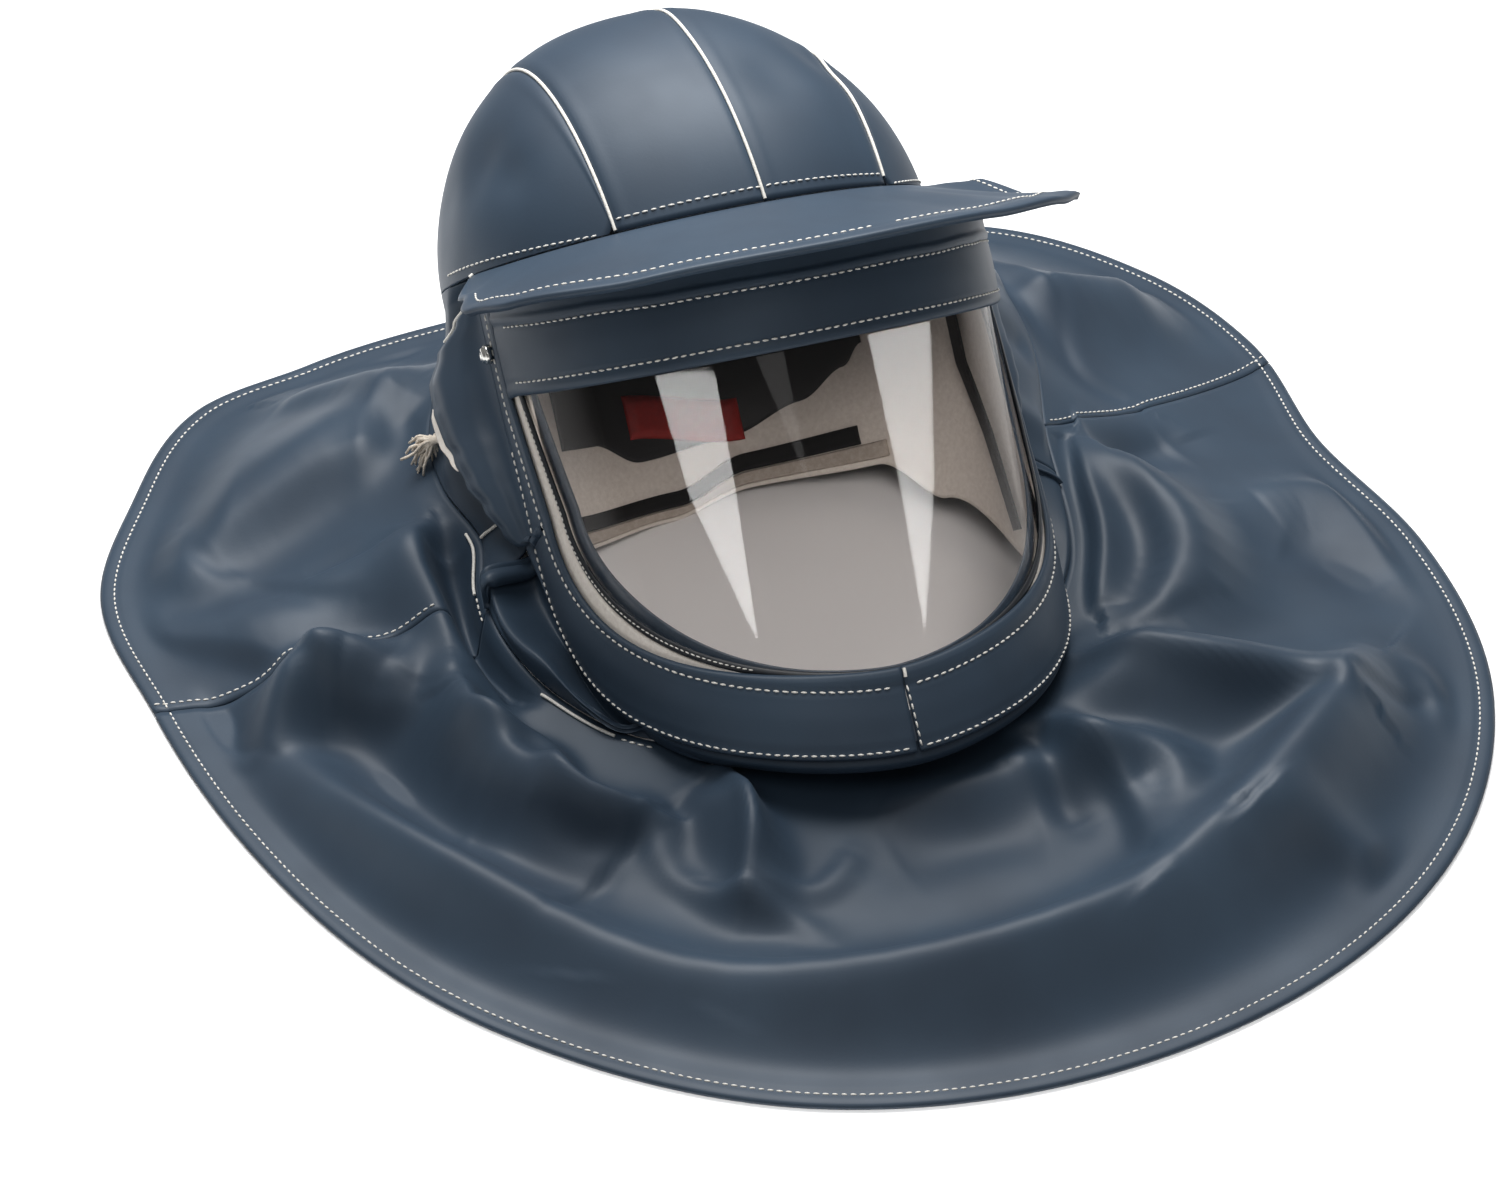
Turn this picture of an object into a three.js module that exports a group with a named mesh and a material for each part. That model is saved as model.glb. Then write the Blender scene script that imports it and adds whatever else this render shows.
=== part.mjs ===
// Sandblasting hood, lying on its cape with the window tipped back.
// Millimetres, +Z up, the wearer's face towards -Y, the wearer's right side at -X.
// The origin is the middle of the cape, on the surface that it lies on.

import * as THREE from 'three';

// Cloth and clearances
const CLOTH = 2;
const SEAM = 0.4;
const LAYER = 0.4;

// Cape
const CAPE_WIDTH = 650;
const CAPE_DEPTH = 675;
const HEM_WIDTH = 16;
const HEM_THICKNESS = 3.2;
const NECK_X = -15;
const NECK_Y = 60;
const NECK_REACH = 170;
const NECK_HEIGHT = 62;
const NECK_SWING = 14;
const SHOULDER_AZIMUTH = 95;
const FOLD_HEIGHT = 36;
const FOLD_WIDTH = 40;

// Pose of the head on the cape
const HEAD_X = -14;
const HEAD_Y = 61.5;
const HEAD_Z = 127;
const HEAD_TILT = 39;
const HEAD_TWIST = -7.8;

// Window, band and frame, all on one upright cylinder
const FACE_RADIUS = 124;
const WINDOW_HALF_WIDTH = 158;
const WINDOW_SHOULDER = 60;
const WINDOW_DROP = 102;
const WINDOW_TOP_SPREAD = 17;
const WINDOW_CURVE = 1.72;
const WINDOW_THICKNESS = 1.5;
const WINDOW_TUCK = 0.5;
const WINDOW_TUCK_UP = 4;
const WINDOW_FIRST = 0.07;
const GASKET_WIDTH = 7;
const GASKET_THICKNESS = 1.5;
const FRAME_THICKNESS = 2.4;
const FRAME_WIDTH = 40;
const UPRIGHT_WIDTH = 24;
const FRAME_GAP_AT_CHIN = 3;
const FRAME_GAP_AT_SIDE = 11;
const BAND_RISE = 11;

// Crown, an ellipsoid cut by the level where the peak is sewn on
const CROWN_X = -10;
const CROWN_Y = 38;
const CROWN_Z = 45;
const CROWN_HALF_WIDTH = 123;
const CROWN_HALF_LENGTH = 118;
const CROWN_HALF_HEIGHT = 132;
const CROWN_LEAN = 14;
const CROWN_SEAM_SPACING = 70;
const JOIN_LEVEL = 62;

// Peak
const PEAK_THICKNESS = 4;
const PEAK_CORNER_REACH = 128;
const PEAK_TIP_REACH = 174;
const PEAK_DROP = 32;

// Wall between the head and the neck seam. It starts flat under the frame, leaves it at WALL_CLEAR and
// settles under the crown within WALL_SETTLE degrees. WALL_TURN is where it passes from the frame to the
// crown, and SKIRT_END where its front part ends, both as shares of the way round to the back.
const FRAME_TUCK = 5;
const WALL_CLEAR = 3;
const WALL_TUCKED = 0.2;
const WALL_SETTLE = 28;
const WALL_TURN = 0.6;
const SKIRT_END = 0.33;
const WALL_DROP = 0.35;
const WALL_FLARE = 0.1;
const WALL_RISE = 0.2;

// Side flaps, snaps and the end of the neck cord
const FLAP_START = 0.83;
const FLAP_REACH = 37;
const FLAP_TURN = 40;
const FLAP_TURN_LOW = 66;
const SNAP_DIAMETER = 9.5;
const SNAP_HEIGHT = 2.6;
const SNAP_LEVEL = 24;
const CORD_X = -141.8;
const CORD_Y = 114.8;
const CORD_Z = 91.1;
const CORD_REACH = 50;
const TUFT_DIAMETER = 13;

// Inside of the hood, in layers on the same upright cylinder as the window
const RIM_THICKNESS = 1.2;
const LINING_THICKNESS = 1.5;
const INSIDE_DROP = 140;
const LINING_TOP = 30;
const LINING_FRONT = 79.5;
const HARNESS_THICKNESS = 2.4;
const HARNESS_TOP = 26;
const PAD_THICKNESS = 4;
const STRAP_WIDTH = 8;

// Sizes that follow from the ones above
const BAND_END = WINDOW_HALF_WIDTH + WINDOW_TOP_SPREAD;
const PEAK_LAP = 1.4 * PEAK_THICKNESS + LAYER;
const UPRIGHT_TOP = JOIN_LEVEL - PEAK_LAP;
const WINDOW_TOP = 1 + (WINDOW_SHOULDER + WINDOW_TUCK_UP) / (WINDOW_SHOULDER + UPRIGHT_TOP);
const GASKET_RADIUS = FACE_RADIUS - FRAME_THICKNESS - LAYER;
const WINDOW_RADIUS = GASKET_RADIUS - GASKET_THICKNESS - LAYER;
const LINING_RADIUS = WINDOW_RADIUS - WINDOW_THICKNESS - LAYER;
const HARNESS_RADIUS = LINING_RADIUS - LINING_THICKNESS - LAYER;
const PAD_RADIUS = HARNESS_RADIUS - HARNESS_THICKNESS - LAYER;

const COLOURS = {
  cloth: { color: 0x43505f, roughness: 0.5, metalness: 0 },
  lining: { color: 0xc9c0b4, roughness: 0.8, metalness: 0 },
  rubber: { color: 0x15181c, roughness: 0.6, metalness: 0 },
  clear: { color: 0xe8eef2, roughness: 0.05, metalness: 0 },
  metal: { color: 0xc8c8c4, roughness: 0.25, metalness: 1 },
  cotton: { color: 0xd9cdbc, roughness: 0.9, metalness: 0 },
  sweatband: { color: 0xa39b93, roughness: 0.8, metalness: 0 },
  webbing: { color: 0x141416, roughness: 0.7, metalness: 0 },
  red: { color: 0x8a1a12, roughness: 0.6, metalness: 0 },
};

// Outline of the cape about the neck, with reach as a share of half the depth of the cape
const HEM_LINE = [
  { azimuth: 0, reach: 1.176 },
  { azimuth: 24, reach: 1.168 },
  { azimuth: 45, reach: 1.108 },
  { azimuth: 65, reach: 1.015 },
  { azimuth: 82, reach: 0.948 },
  { azimuth: 99, reach: 1.016 },
  { azimuth: 113, reach: 1.055 },
  { azimuth: 130, reach: 1.049 },
  { azimuth: 150, reach: 0.904 },
  { azimuth: 180, reach: 0.824 },
  { azimuth: 205, reach: 0.898 },
  { azimuth: 217, reach: 0.969 },
  { azimuth: 233, reach: 0.957 },
  { azimuth: 247, reach: 0.96 },
  { azimuth: 265, reach: 0.913 },
  { azimuth: 287, reach: 0.939 },
  { azimuth: 315, reach: 1.055 },
  { azimuth: 337, reach: 1.145 },
];

// Neck seam, with reach and height as shares of the neck's reach and height
const NECK_LINE = [
  { azimuth: 0, reach: 1.01, height: 0.4 },
  { azimuth: 45, reach: 0.96, height: 0.5 },
  { azimuth: 80, reach: 0.93, height: 0.8 },
  { azimuth: 111, reach: 1.22, height: 1 },
  { azimuth: 127, reach: 1.4, height: 1.08 },
  { azimuth: 145, reach: 1.26, height: 1.03 },
  { azimuth: 180, reach: 1.1, height: 0.95 },
  { azimuth: 215, reach: 1.03, height: 0.94 },
  { azimuth: 247, reach: 0.892, height: 0.91 },
  { azimuth: 263, reach: 0.82, height: 0.84 },
  { azimuth: 272, reach: 0.87, height: 0.72 },
  { azimuth: 285, reach: 0.945, height: 0.64 },
  { azimuth: 302, reach: 1.02, height: 0.52 },
  { azimuth: 318, reach: 1.06, height: 0.45 },
];

const root = new THREE.Group();
const head = new THREE.Group();
head.position.set(HEAD_X, HEAD_Y, HEAD_Z);
head.rotation.set(-rad(HEAD_TILT), 0, rad(HEAD_TWIST), 'ZYX');
root.add(head);
root.updateMatrixWorld(true);

function rad(degrees) {
  return (degrees * Math.PI) / 180;
}

function mix(a, b, share) {
  return a + (b - a) * share;
}

function smooth(share) {
  const s = Math.min(1, Math.max(0, share));
  return s * s * (3 - 2 * s);
}

// Value of one column of a table of rows round a full turn, on a smooth closed curve
function around(rows, column, azimuth) {
  const count = rows.length;
  const turn = ((azimuth % 360) + 360) % 360;
  let k = 0;
  while (k < count - 1 && rows[k + 1].azimuth <= turn) {
    k += 1;
  }
  const row = (i) => rows[((i % count) + count) % count];
  const angle = (i) => row(i).azimuth + 360 * Math.floor(i / count);
  const slope = (i) => (row(i + 1)[column] - row(i - 1)[column]) / (angle(i + 1) - angle(i - 1));
  const span = angle(k + 1) - angle(k);
  const t = (turn - angle(k)) / span;
  const t2 = t * t;
  const t3 = t2 * t;
  return (
    (2 * t3 - 3 * t2 + 1) * row(k)[column] +
    (t3 - 2 * t2 + t) * span * slope(k) +
    (-2 * t3 + 3 * t2) * row(k + 1)[column] +
    (t3 - t2) * span * slope(k + 1)
  );
}

// Value of one column of a table of rows along an open line, straight between rows
function along(rows, column, place) {
  let k = 0;
  while (k < rows.length - 2 && rows[k + 1].at <= place) {
    k += 1;
  }
  const share = (place - rows[k].at) / (rows[k + 1].at - rows[k].at);
  return mix(rows[k][column], rows[k + 1][column], smooth(share));
}

// Closed body between two grids of points, with a rim round its four edges
function shell(outer, inner) {
  const rows = outer.length;
  const columns = outer[0].length;
  const points = [];
  const faces = [];
  for (const grid of [outer, inner]) {
    for (const line of grid) {
      for (const point of line) {
        points.push(point.x, point.y, point.z);
      }
    }
  }
  const top = (i, j) => i * columns + j;
  const under = (i, j) => rows * columns + i * columns + j;
  const quad = (a, b, c, d) => faces.push(a, b, c, a, c, d);
  for (let i = 0; i < rows - 1; i += 1) {
    for (let j = 0; j < columns - 1; j += 1) {
      quad(top(i, j), top(i, j + 1), top(i + 1, j + 1), top(i + 1, j));
      quad(under(i, j), under(i + 1, j), under(i + 1, j + 1), under(i, j + 1));
    }
  }
  for (let j = 0; j < columns - 1; j += 1) {
    quad(top(0, j + 1), top(0, j), under(0, j), under(0, j + 1));
    quad(top(rows - 1, j), top(rows - 1, j + 1), under(rows - 1, j + 1), under(rows - 1, j));
  }
  for (let i = 0; i < rows - 1; i += 1) {
    quad(top(i, 0), top(i + 1, 0), under(i + 1, 0), under(i, 0));
    quad(top(i + 1, columns - 1), top(i, columns - 1), under(i, columns - 1), under(i + 1, columns - 1));
  }
  const geometry = new THREE.BufferGeometry();
  geometry.setAttribute('position', new THREE.Float32BufferAttribute(points, 3));
  geometry.setIndex(volume(points, faces) < 0 ? faces.slice().reverse() : faces);
  return geometry;
}

function volume(points, faces) {
  const corner = (k) => new THREE.Vector3(points[3 * k], points[3 * k + 1], points[3 * k + 2]);
  let total = 0;
  for (let f = 0; f < faces.length; f += 3) {
    const cross = corner(faces[f + 1]).cross(corner(faces[f + 2]));
    total += corner(faces[f]).dot(cross);
  }
  return total / 6;
}

// Grid of points of surface(u, v), with u and v from 0 to 1
function grid(surface, uSteps, vSteps) {
  const lines = [];
  for (let i = 0; i <= uSteps; i += 1) {
    const line = [];
    for (let j = 0; j <= vSteps; j += 1) {
      line.push(surface(i / uSteps, j / vSteps));
    }
    lines.push(line);
  }
  return lines;
}

// Direction out of surface(u, v), where u runs to the right and v runs up as the face is looked at
function outward(surface, u, v) {
  const step = 0.002;
  const east = surface(Math.min(1, u + step), v);
  const west = surface(Math.max(0, u - step), v);
  const north = surface(u, Math.min(1, v + step));
  const south = surface(u, Math.max(0, v - step));
  return east.sub(west).cross(north.sub(south)).normalize();
}

// Sheet whose seen face is surface(u, v) and whose other face lies one thickness behind it
function sheet(surface, uSteps, vSteps, thickness) {
  const behind = (u, v) => surface(u, v).addScaledVector(outward(surface, u, v), -thickness);
  return shell(grid(surface, uSteps, vSteps), grid(behind, uSteps, vSteps));
}

function piece(parent, name, geometry, colour) {
  const material = new THREE.MeshStandardMaterial(COLOURS[colour]);
  const mesh = new THREE.Mesh(geometry, material);
  mesh.name = name;
  parent.add(mesh);
  return mesh;
}

function headToWorld(point) {
  return point.applyMatrix4(head.matrixWorld);
}

// Outline of one half of the window, unrolled: side from the chin outwards and level above the band's ends.
// place runs from 0 at the chin to 1 at the shoulder of the window and on to 2 under the peak.
function windowOutline(place) {
  if (place <= 1) {
    const turn = Math.max(place, 0) * 0.5 * Math.PI;
    const power = 2 / WINDOW_CURVE;
    return {
      side: WINDOW_HALF_WIDTH * Math.pow(Math.sin(turn), power),
      level: -WINDOW_SHOULDER - WINDOW_DROP * Math.pow(Math.max(Math.cos(turn), 0), power),
    };
  }
  const rise = (place - 1) * (WINDOW_SHOULDER + UPRIGHT_TOP);
  const spread = Math.min(1, rise / WINDOW_SHOULDER);
  return { side: WINDOW_HALF_WIDTH + WINDOW_TOP_SPREAD * spread, level: rise - WINDOW_SHOULDER };
}

// The same outline moved outwards by grow
function grownOutline(place, grow) {
  const step = 0.02;
  const here = windowOutline(place);
  const before = windowOutline(Math.max(0, place - step));
  const after = windowOutline(place + step);
  const run = after.side - before.side;
  const rise = place > 2 - step ? 1 : after.level - before.level;
  const length = Math.hypot(run, rise);
  const level = place > 2 - step ? here.level : here.level - (grow * run) / length;
  return { side: here.side + (grow * rise) / length, level };
}

// Point on an upright cylinder round the face, from a distance round it and a level
function onFace(side, level, radius) {
  const angle = side / FACE_RADIUS;
  return new THREE.Vector3(radius * Math.sin(angle), -radius * Math.cos(angle), level);
}

function frameGap(place) {
  return mix(FRAME_GAP_AT_CHIN, FRAME_GAP_AT_SIDE, smooth(place));
}

function frameReach(place) {
  return mix(FRAME_WIDTH, UPRIGHT_WIDTH, smooth(place - 0.5));
}

// Point of the frame on the right (hand -1) or the left (hand 1), across from 0 inside to 1 outside
function framePoint(hand, place, across, radius) {
  const edge = grownOutline(place, frameGap(place) + across * frameReach(place));
  return onFace(hand * (Math.max(edge.side, 0) + SEAM / 2), edge.level, radius);
}

function frameHalf(hand) {
  const surface = (u, v) => {
    const place = hand < 0 ? 2 - 2 * u : 2 * u;
    return framePoint(hand, place, 1 - v, FACE_RADIUS);
  };
  return sheet(surface, 26, 2, FRAME_THICKNESS);
}

// Strip along the edge of the window between two distances from it
function edgeStrip(inner, outer, radius, thickness) {
  const surface = (u, v) => {
    const place = mix(-WINDOW_TOP, WINDOW_TOP, u);
    const size = Math.abs(place);
    const edge = grownOutline(size, mix(outer(size), inner(size), v));
    return onFace(Math.sign(place) * Math.max(edge.side, 0), edge.level, radius);
  };
  return sheet(surface, 36, 1, thickness);
}

// The sheet starts a little above the lowest point of the outline, where its rows would shrink to nothing
function windowSheet() {
  const surface = (u, v) => {
    const edge = grownOutline(mix(WINDOW_FIRST, WINDOW_TOP, v), WINDOW_TUCK);
    return onFace(mix(-edge.side, edge.side, u), edge.level, WINDOW_RADIUS);
  };
  return sheet(surface, 12, 9, WINDOW_THICKNESS);
}

// Distance from the head's axis to the crown at the level of the join, at an angle from the front
function crownRim(angle) {
  const share = Math.sqrt(1 - Math.pow((JOIN_LEVEL - CROWN_Z) / CROWN_HALF_HEIGHT, 2));
  const a = CROWN_HALF_WIDTH * share;
  const b = CROWN_HALF_LENGTH * share;
  const dx = Math.sin(angle) / a;
  const dy = -Math.cos(angle) / b;
  const ox = -CROWN_X / a;
  const oy = -CROWN_Y / b;
  const square = dx * dx + dy * dy;
  const half = ox * dx + oy * dy;
  return (-half + Math.sqrt(half * half - square * (ox * ox + oy * oy - 1))) / square;
}

// Outer edge of the peak against the angle from the front, right side first.
// reach is a share of the way from the corner's reach to the tip's, drop a share of the peak's drop.
const PEAK_LINE = [
  { at: -90, reach: 0.02, drop: 0.05 },
  { at: -76, reach: 0.4, drop: 0.4 },
  { at: -63, reach: 0.85, drop: 0.7 },
  { at: -52, reach: 1, drop: 0.8 },
  { at: -30, reach: 0.9, drop: 0.95 },
  { at: 0, reach: 0.8, drop: 1 },
  { at: 30, reach: 0.9, drop: 0.95 },
  { at: 48, reach: 1.02, drop: 0.85 },
  { at: 58, reach: 1.02, drop: 0.75 },
  { at: 70, reach: 0.5, drop: 0.55 },
  { at: 83, reach: 0.1, drop: 0.06 },
  { at: 92, reach: 0.02, drop: 0.03 },
];

function peakEdge(degrees) {
  const reach = along(PEAK_LINE, 'reach', degrees);
  const drop = along(PEAK_LINE, 'drop', degrees);
  return {
    radius: mix(PEAK_CORNER_REACH, PEAK_TIP_REACH, reach),
    level: JOIN_LEVEL - PEAK_DROP * drop,
  };
}

function peakPoint(degrees, share) {
  const angle = rad(degrees);
  const edge = peakEdge(degrees);
  const inner = Math.min(crownRim(angle) + LAYER, edge.radius - 2);
  const radius = mix(edge.radius, inner, share);
  const level = mix(edge.level, JOIN_LEVEL, smooth(0.5 * share) * 2 * 0.6 + 0.4 * share);
  return new THREE.Vector3(radius * Math.sin(angle), -radius * Math.cos(angle), level);
}

function peak() {
  const first = PEAK_LINE[0].at;
  const last = PEAK_LINE[PEAK_LINE.length - 1].at;
  const surface = (u, v) => peakPoint(mix(first, last, u), v);
  return sheet(surface, 30, 4, PEAK_THICKNESS);
}

// Level just under the peak above the face cylinder
function underPeak(angle) {
  const degrees = (angle * 180) / Math.PI;
  const edge = peakEdge(degrees);
  const inner = crownRim(angle);
  const share = Math.min(1, Math.max(0, (edge.radius - FACE_RADIUS) / (edge.radius - inner)));
  return peakPoint(degrees, share).z - PEAK_LAP;
}

function browBand() {
  const half = BAND_END + FRAME_GAP_AT_SIDE - SEAM;
  const surface = (u, v) => {
    const side = mix(-half, half, u);
    const share = Math.min(1, Math.abs(side) / BAND_END);
    const bottom = -BAND_RISE * (1 - share * share);
    const top = Math.min(underPeak(side / FACE_RADIUS), UPRIGHT_TOP);
    return onFace(side, mix(bottom, top, v), FACE_RADIUS);
  };
  return sheet(surface, 26, 2, FRAME_THICKNESS);
}

// Point of the crown from a unit vector. The right side of the crown leans out towards the top.
function onCrown(unit) {
  const height = Math.max(0, unit.z - (JOIN_LEVEL - CROWN_Z) / CROWN_HALF_HEIGHT);
  const lean = (CROWN_LEAN * height * (1 - unit.x)) / 2;
  return new THREE.Vector3(
    CROWN_X + CROWN_HALF_WIDTH * unit.x - lean,
    CROWN_Y + CROWN_HALF_LENGTH * unit.y,
    CROWN_Z + CROWN_HALF_HEIGHT * unit.z,
  );
}

// Unit vector of the point where the crown meets a plane at x, along from 0 at the front to 1 at the back
function crownUnit(x, share, level) {
  const across = (x - CROWN_X) / CROWN_HALF_WIDTH;
  const round = Math.sqrt(1 - across * across);
  const start = Math.asin((level - CROWN_Z) / (round * CROWN_HALF_HEIGHT));
  const turn = mix(start, Math.PI - start, share);
  return new THREE.Vector3(across, -round * Math.cos(turn), round * Math.sin(turn));
}

function crownTop(from, to) {
  const level = JOIN_LEVEL + SEAM / 2;
  const surface = (u, v) => onCrown(crownUnit(mix(from, to, u), v, level));
  return sheet(surface, 5, 15, CLOTH);
}

// Side gore between the outer seam and the level of the join, on the right (hand -1) or the left (hand 1)
function crownSide(hand) {
  const level = JOIN_LEVEL + SEAM / 2;
  const seam = hand * (CROWN_SEAM_SPACING + SEAM / 2);
  const surface = (u, v) => {
    const share = mix(0.012, 0.988, hand < 0 ? 1 - u : u);
    const high = crownUnit(seam, share, level);
    const ends = [crownUnit(seam, 0, level), crownUnit(seam, 1, level)];
    const turns = ends.map((unit) => Math.atan2(hand * unit.x, -unit.y));
    const turn = mix(turns[0], turns[1], share);
    const flat = Math.hypot(ends[0].x, ends[0].y);
    const low = new THREE.Vector3(hand * flat * Math.sin(turn), -flat * Math.cos(turn), ends[0].z);
    return onCrown(low.lerp(high, v).normalize());
  };
  return sheet(surface, 14, 5, CLOTH);
}

// Line of the wall that is tucked under the frame and the crown, from -1 behind over 0 at the chin to
// 1 behind. beyond is the distance past the outer edge of the frame, and is negative under the frame.
function wallTop(q, beyond) {
  const hand = q < 0 ? -1 : 1;
  const size = Math.abs(q);
  const radius = GASKET_RADIUS - LAYER;
  if (size <= WALL_TURN) {
    const place = (2 * size) / WALL_TURN;
    return headToWorld(framePoint(hand, place, 1 + beyond / frameReach(place), radius));
  }
  const side = BAND_END + FRAME_GAP_AT_SIDE + UPRIGHT_WIDTH + beyond + SEAM / 2;
  const start = side / FACE_RADIUS;
  const angle = mix(start, Math.PI, (size - WALL_TURN) / (1 - WALL_TURN));
  const settle = smooth((angle - start) / rad(WALL_SETTLE));
  const reach = mix(radius, crownRim(hand * angle), settle);
  const level = mix(UPRIGHT_TOP, JOIN_LEVEL - SEAM - (beyond + FRAME_TUCK), settle);
  return headToWorld(new THREE.Vector3(hand * reach * Math.sin(angle), -reach * Math.cos(angle), level));
}

function neckPoint(azimuth) {
  const reach = NECK_REACH * around(NECK_LINE, 'reach', azimuth);
  const height = NECK_HEIGHT * around(NECK_LINE, 'height', azimuth);
  const turn = rad(azimuth);
  return new THREE.Vector3(NECK_X + reach * Math.sin(turn), NECK_Y - reach * Math.cos(turn), height);
}

// Wall between its upper edge and the neck seam, down from 0 to 1. The first part lies flat under the frame.
function wallPoint(q, down) {
  if (down <= WALL_TUCKED) {
    return wallTop(q, mix(-FRAME_TUCK, WALL_CLEAR, down / WALL_TUCKED));
  }
  const top = wallTop(q, WALL_CLEAR);
  const azimuth = (Math.atan2(top.x - NECK_X, NECK_Y - top.y) * 180) / Math.PI;
  const foot = neckPoint(azimuth);
  foot.z += 2 * SEAM;
  const out = new THREE.Vector3(foot.x - NECK_X, foot.y - NECK_Y, 0).normalize();
  const span = top.distanceTo(foot);
  const upper = top.clone();
  upper.z -= WALL_DROP * span;
  const lower = foot.clone().addScaledVector(out, -WALL_FLARE * span);
  lower.z += WALL_RISE * span;
  const share = (down - WALL_TUCKED) / (1 - WALL_TUCKED);
  return new THREE.CubicBezierCurve3(top, upper, lower, foot).getPoint(share);
}

function neckSkirt() {
  const surface = (u, v) => wallPoint(mix(-SKIRT_END, SKIRT_END, u), 1 - v);
  return sheet(surface, 28, 5, CLOTH);
}

function hoodBack() {
  const surface = (u, v) => {
    const q = mix(SKIRT_END + 0.002, 2 - SKIRT_END - 0.002, u);
    return wallPoint(q > 1 ? q - 2 : q, 1 - v);
  };
  return sheet(surface, 42, 5, CLOTH);
}

// Outline of the cape, moved and sized so that it fills the cape's width and depth about the origin
const hemPoint = fittedHem();

function fittedHem() {
  const raw = (azimuth) => {
    const reach = (CAPE_DEPTH / 2) * around(HEM_LINE, 'reach', azimuth);
    return new THREE.Vector2(reach * Math.sin(rad(azimuth)), -reach * Math.cos(rad(azimuth)));
  };
  const box = new THREE.Box2();
  for (const half of capeHalves()) {
    for (let i = 0; i <= half.steps; i += 1) {
      box.expandByPoint(raw(mix(half.from, half.to, i / half.steps)));
    }
  }
  const middle = box.getCenter(new THREE.Vector2());
  const size = box.getSize(new THREE.Vector2());
  return (azimuth) => {
    const point = raw(azimuth).sub(middle);
    return new THREE.Vector3((point.x * CAPE_WIDTH) / size.x, (point.y * CAPE_DEPTH) / size.y, 0);
  };
}

function capeHalves() {
  const gap = 0.1;
  return [
    { name: 'cape_front', from: -SHOULDER_AZIMUTH + gap, to: SHOULDER_AZIMUTH - gap, steps: 43 },
    { name: 'cape_back', from: SHOULDER_AZIMUTH + gap, to: 360 - SHOULDER_AZIMUTH - gap, steps: 35 },
  ];
}

// Folds of the cape, each a ridge along a curve through three places of azimuth and share from neck to hem
const FOLDS = [
  { name: 'front roll right', a: [-82, -58, -34], s: [0.86, 0.76, 0.8], width: 1, height: 1.1 },
  { name: 'front roll', a: [-38, -14, 12], s: [0.8, 0.77, 0.69], width: 1.2, height: 1.25 },
  { name: 'front roll left', a: [8, 26, 44], s: [0.69, 0.66, 0.73], width: 1, height: 1.1 },
  { name: 'back ridge right', a: [-142, -131, -116], s: [0, 0.36, 0.8], width: 1.3, height: 0.75 },
  { name: 'shoulder ridge right', a: [-108, -106, -103], s: [0, 0.34, 0.72], width: 0.65, height: 0.4 },
  { name: 'seam ridge right', a: [-86, -91, -88], s: [0.82, 0.54, 0.36], width: 0.55, height: 0.75 },
  { name: 'chest fold right', a: [-82, -60, -46], s: [0.2, 0.34, 0.3], width: 0.5, height: 0.8 },
  { name: 'chin fold right', a: [-42, -32, -30], s: [0.08, 0.3, 0.46], width: 0.45, height: 0.6 },
  { name: 'chin fold', a: [-12, -4, 8], s: [0.16, 0.22, 0.22], width: 0.4, height: 0.3 },
  { name: 'chest fold left', a: [24, 33, 41], s: [0.06, 0.34, 0.66], width: 0.7, height: 0.7 },
  { name: 'low fold left', a: [8, 20, 12], s: [0.24, 0.4, 0.58], width: 0.5, height: 0.55 },
  { name: 'shoulder fold left', a: [87, 66, 44], s: [0.06, 0.3, 0.2], width: 0.7, height: 0.7 },
  { name: 'back ridge left', a: [124, 116, 107], s: [0.02, 0.38, 0.9], width: 1, height: 0.6 },
];

function threePlaces(values, t) {
  const control = 2 * values[1] - (values[0] + values[2]) / 2;
  return (1 - t) * (1 - t) * values[0] + 2 * t * (1 - t) * control + t * t * values[2];
}

function capePlan(azimuth, share) {
  const neck = neckPoint(azimuth - NECK_SWING * Math.sin(rad(azimuth)));
  const hem = hemPoint(azimuth);
  return neck.lerp(hem, share);
}

const foldPaths = FOLDS.map((fold) => {
  const path = [];
  for (let i = 0; i <= 10; i += 1) {
    const t = i / 10;
    const point = capePlan(threePlaces(fold.a, t), threePlaces(fold.s, t));
    path.push({ x: point.x, y: point.y, fade: Math.pow(Math.sin(Math.PI * mix(0.12, 0.88, t)), 0.7) });
  }
  return path;
});

// Rise of all the folds above a place in plan
function foldRise(x, y) {
  let rise = 0;
  FOLDS.forEach((fold, k) => {
    const path = foldPaths[k];
    const width = FOLD_WIDTH * fold.width;
    let best = 0;
    for (let i = 0; i < path.length - 1; i += 1) {
      const dx = path[i + 1].x - path[i].x;
      const dy = path[i + 1].y - path[i].y;
      const part = ((x - path[i].x) * dx + (y - path[i].y) * dy) / (dx * dx + dy * dy);
      const t = Math.min(1, Math.max(0, part));
      const distance = Math.hypot(x - path[i].x - t * dx, y - path[i].y - t * dy);
      const fade = mix(path[i].fade, path[i + 1].fade, t);
      best = Math.max(best, fade * Math.exp(-Math.pow(distance / width, 2)));
    }
    rise = Math.hypot(rise, FOLD_HEIGHT * fold.height * best);
  });
  return rise;
}

function hemShare(azimuth) {
  const length = capePlan(azimuth, 0).setZ(0).distanceTo(hemPoint(azimuth));
  return 1 - HEM_WIDTH / length;
}

function capePoint(azimuth, share) {
  const point = capePlan(azimuth, share);
  const flat = hemShare(azimuth);
  const open = Math.max(0, 1 - share / flat);
  const slope = capePlan(azimuth, 0).z - HEM_THICKNESS;
  const rise = foldRise(point.x, point.y) * smooth(open / 0.3) * smooth((share - 0.06) / 0.2);
  point.z = HEM_THICKNESS + slope * Math.pow(open, 1.35) + rise;
  return point;
}

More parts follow.
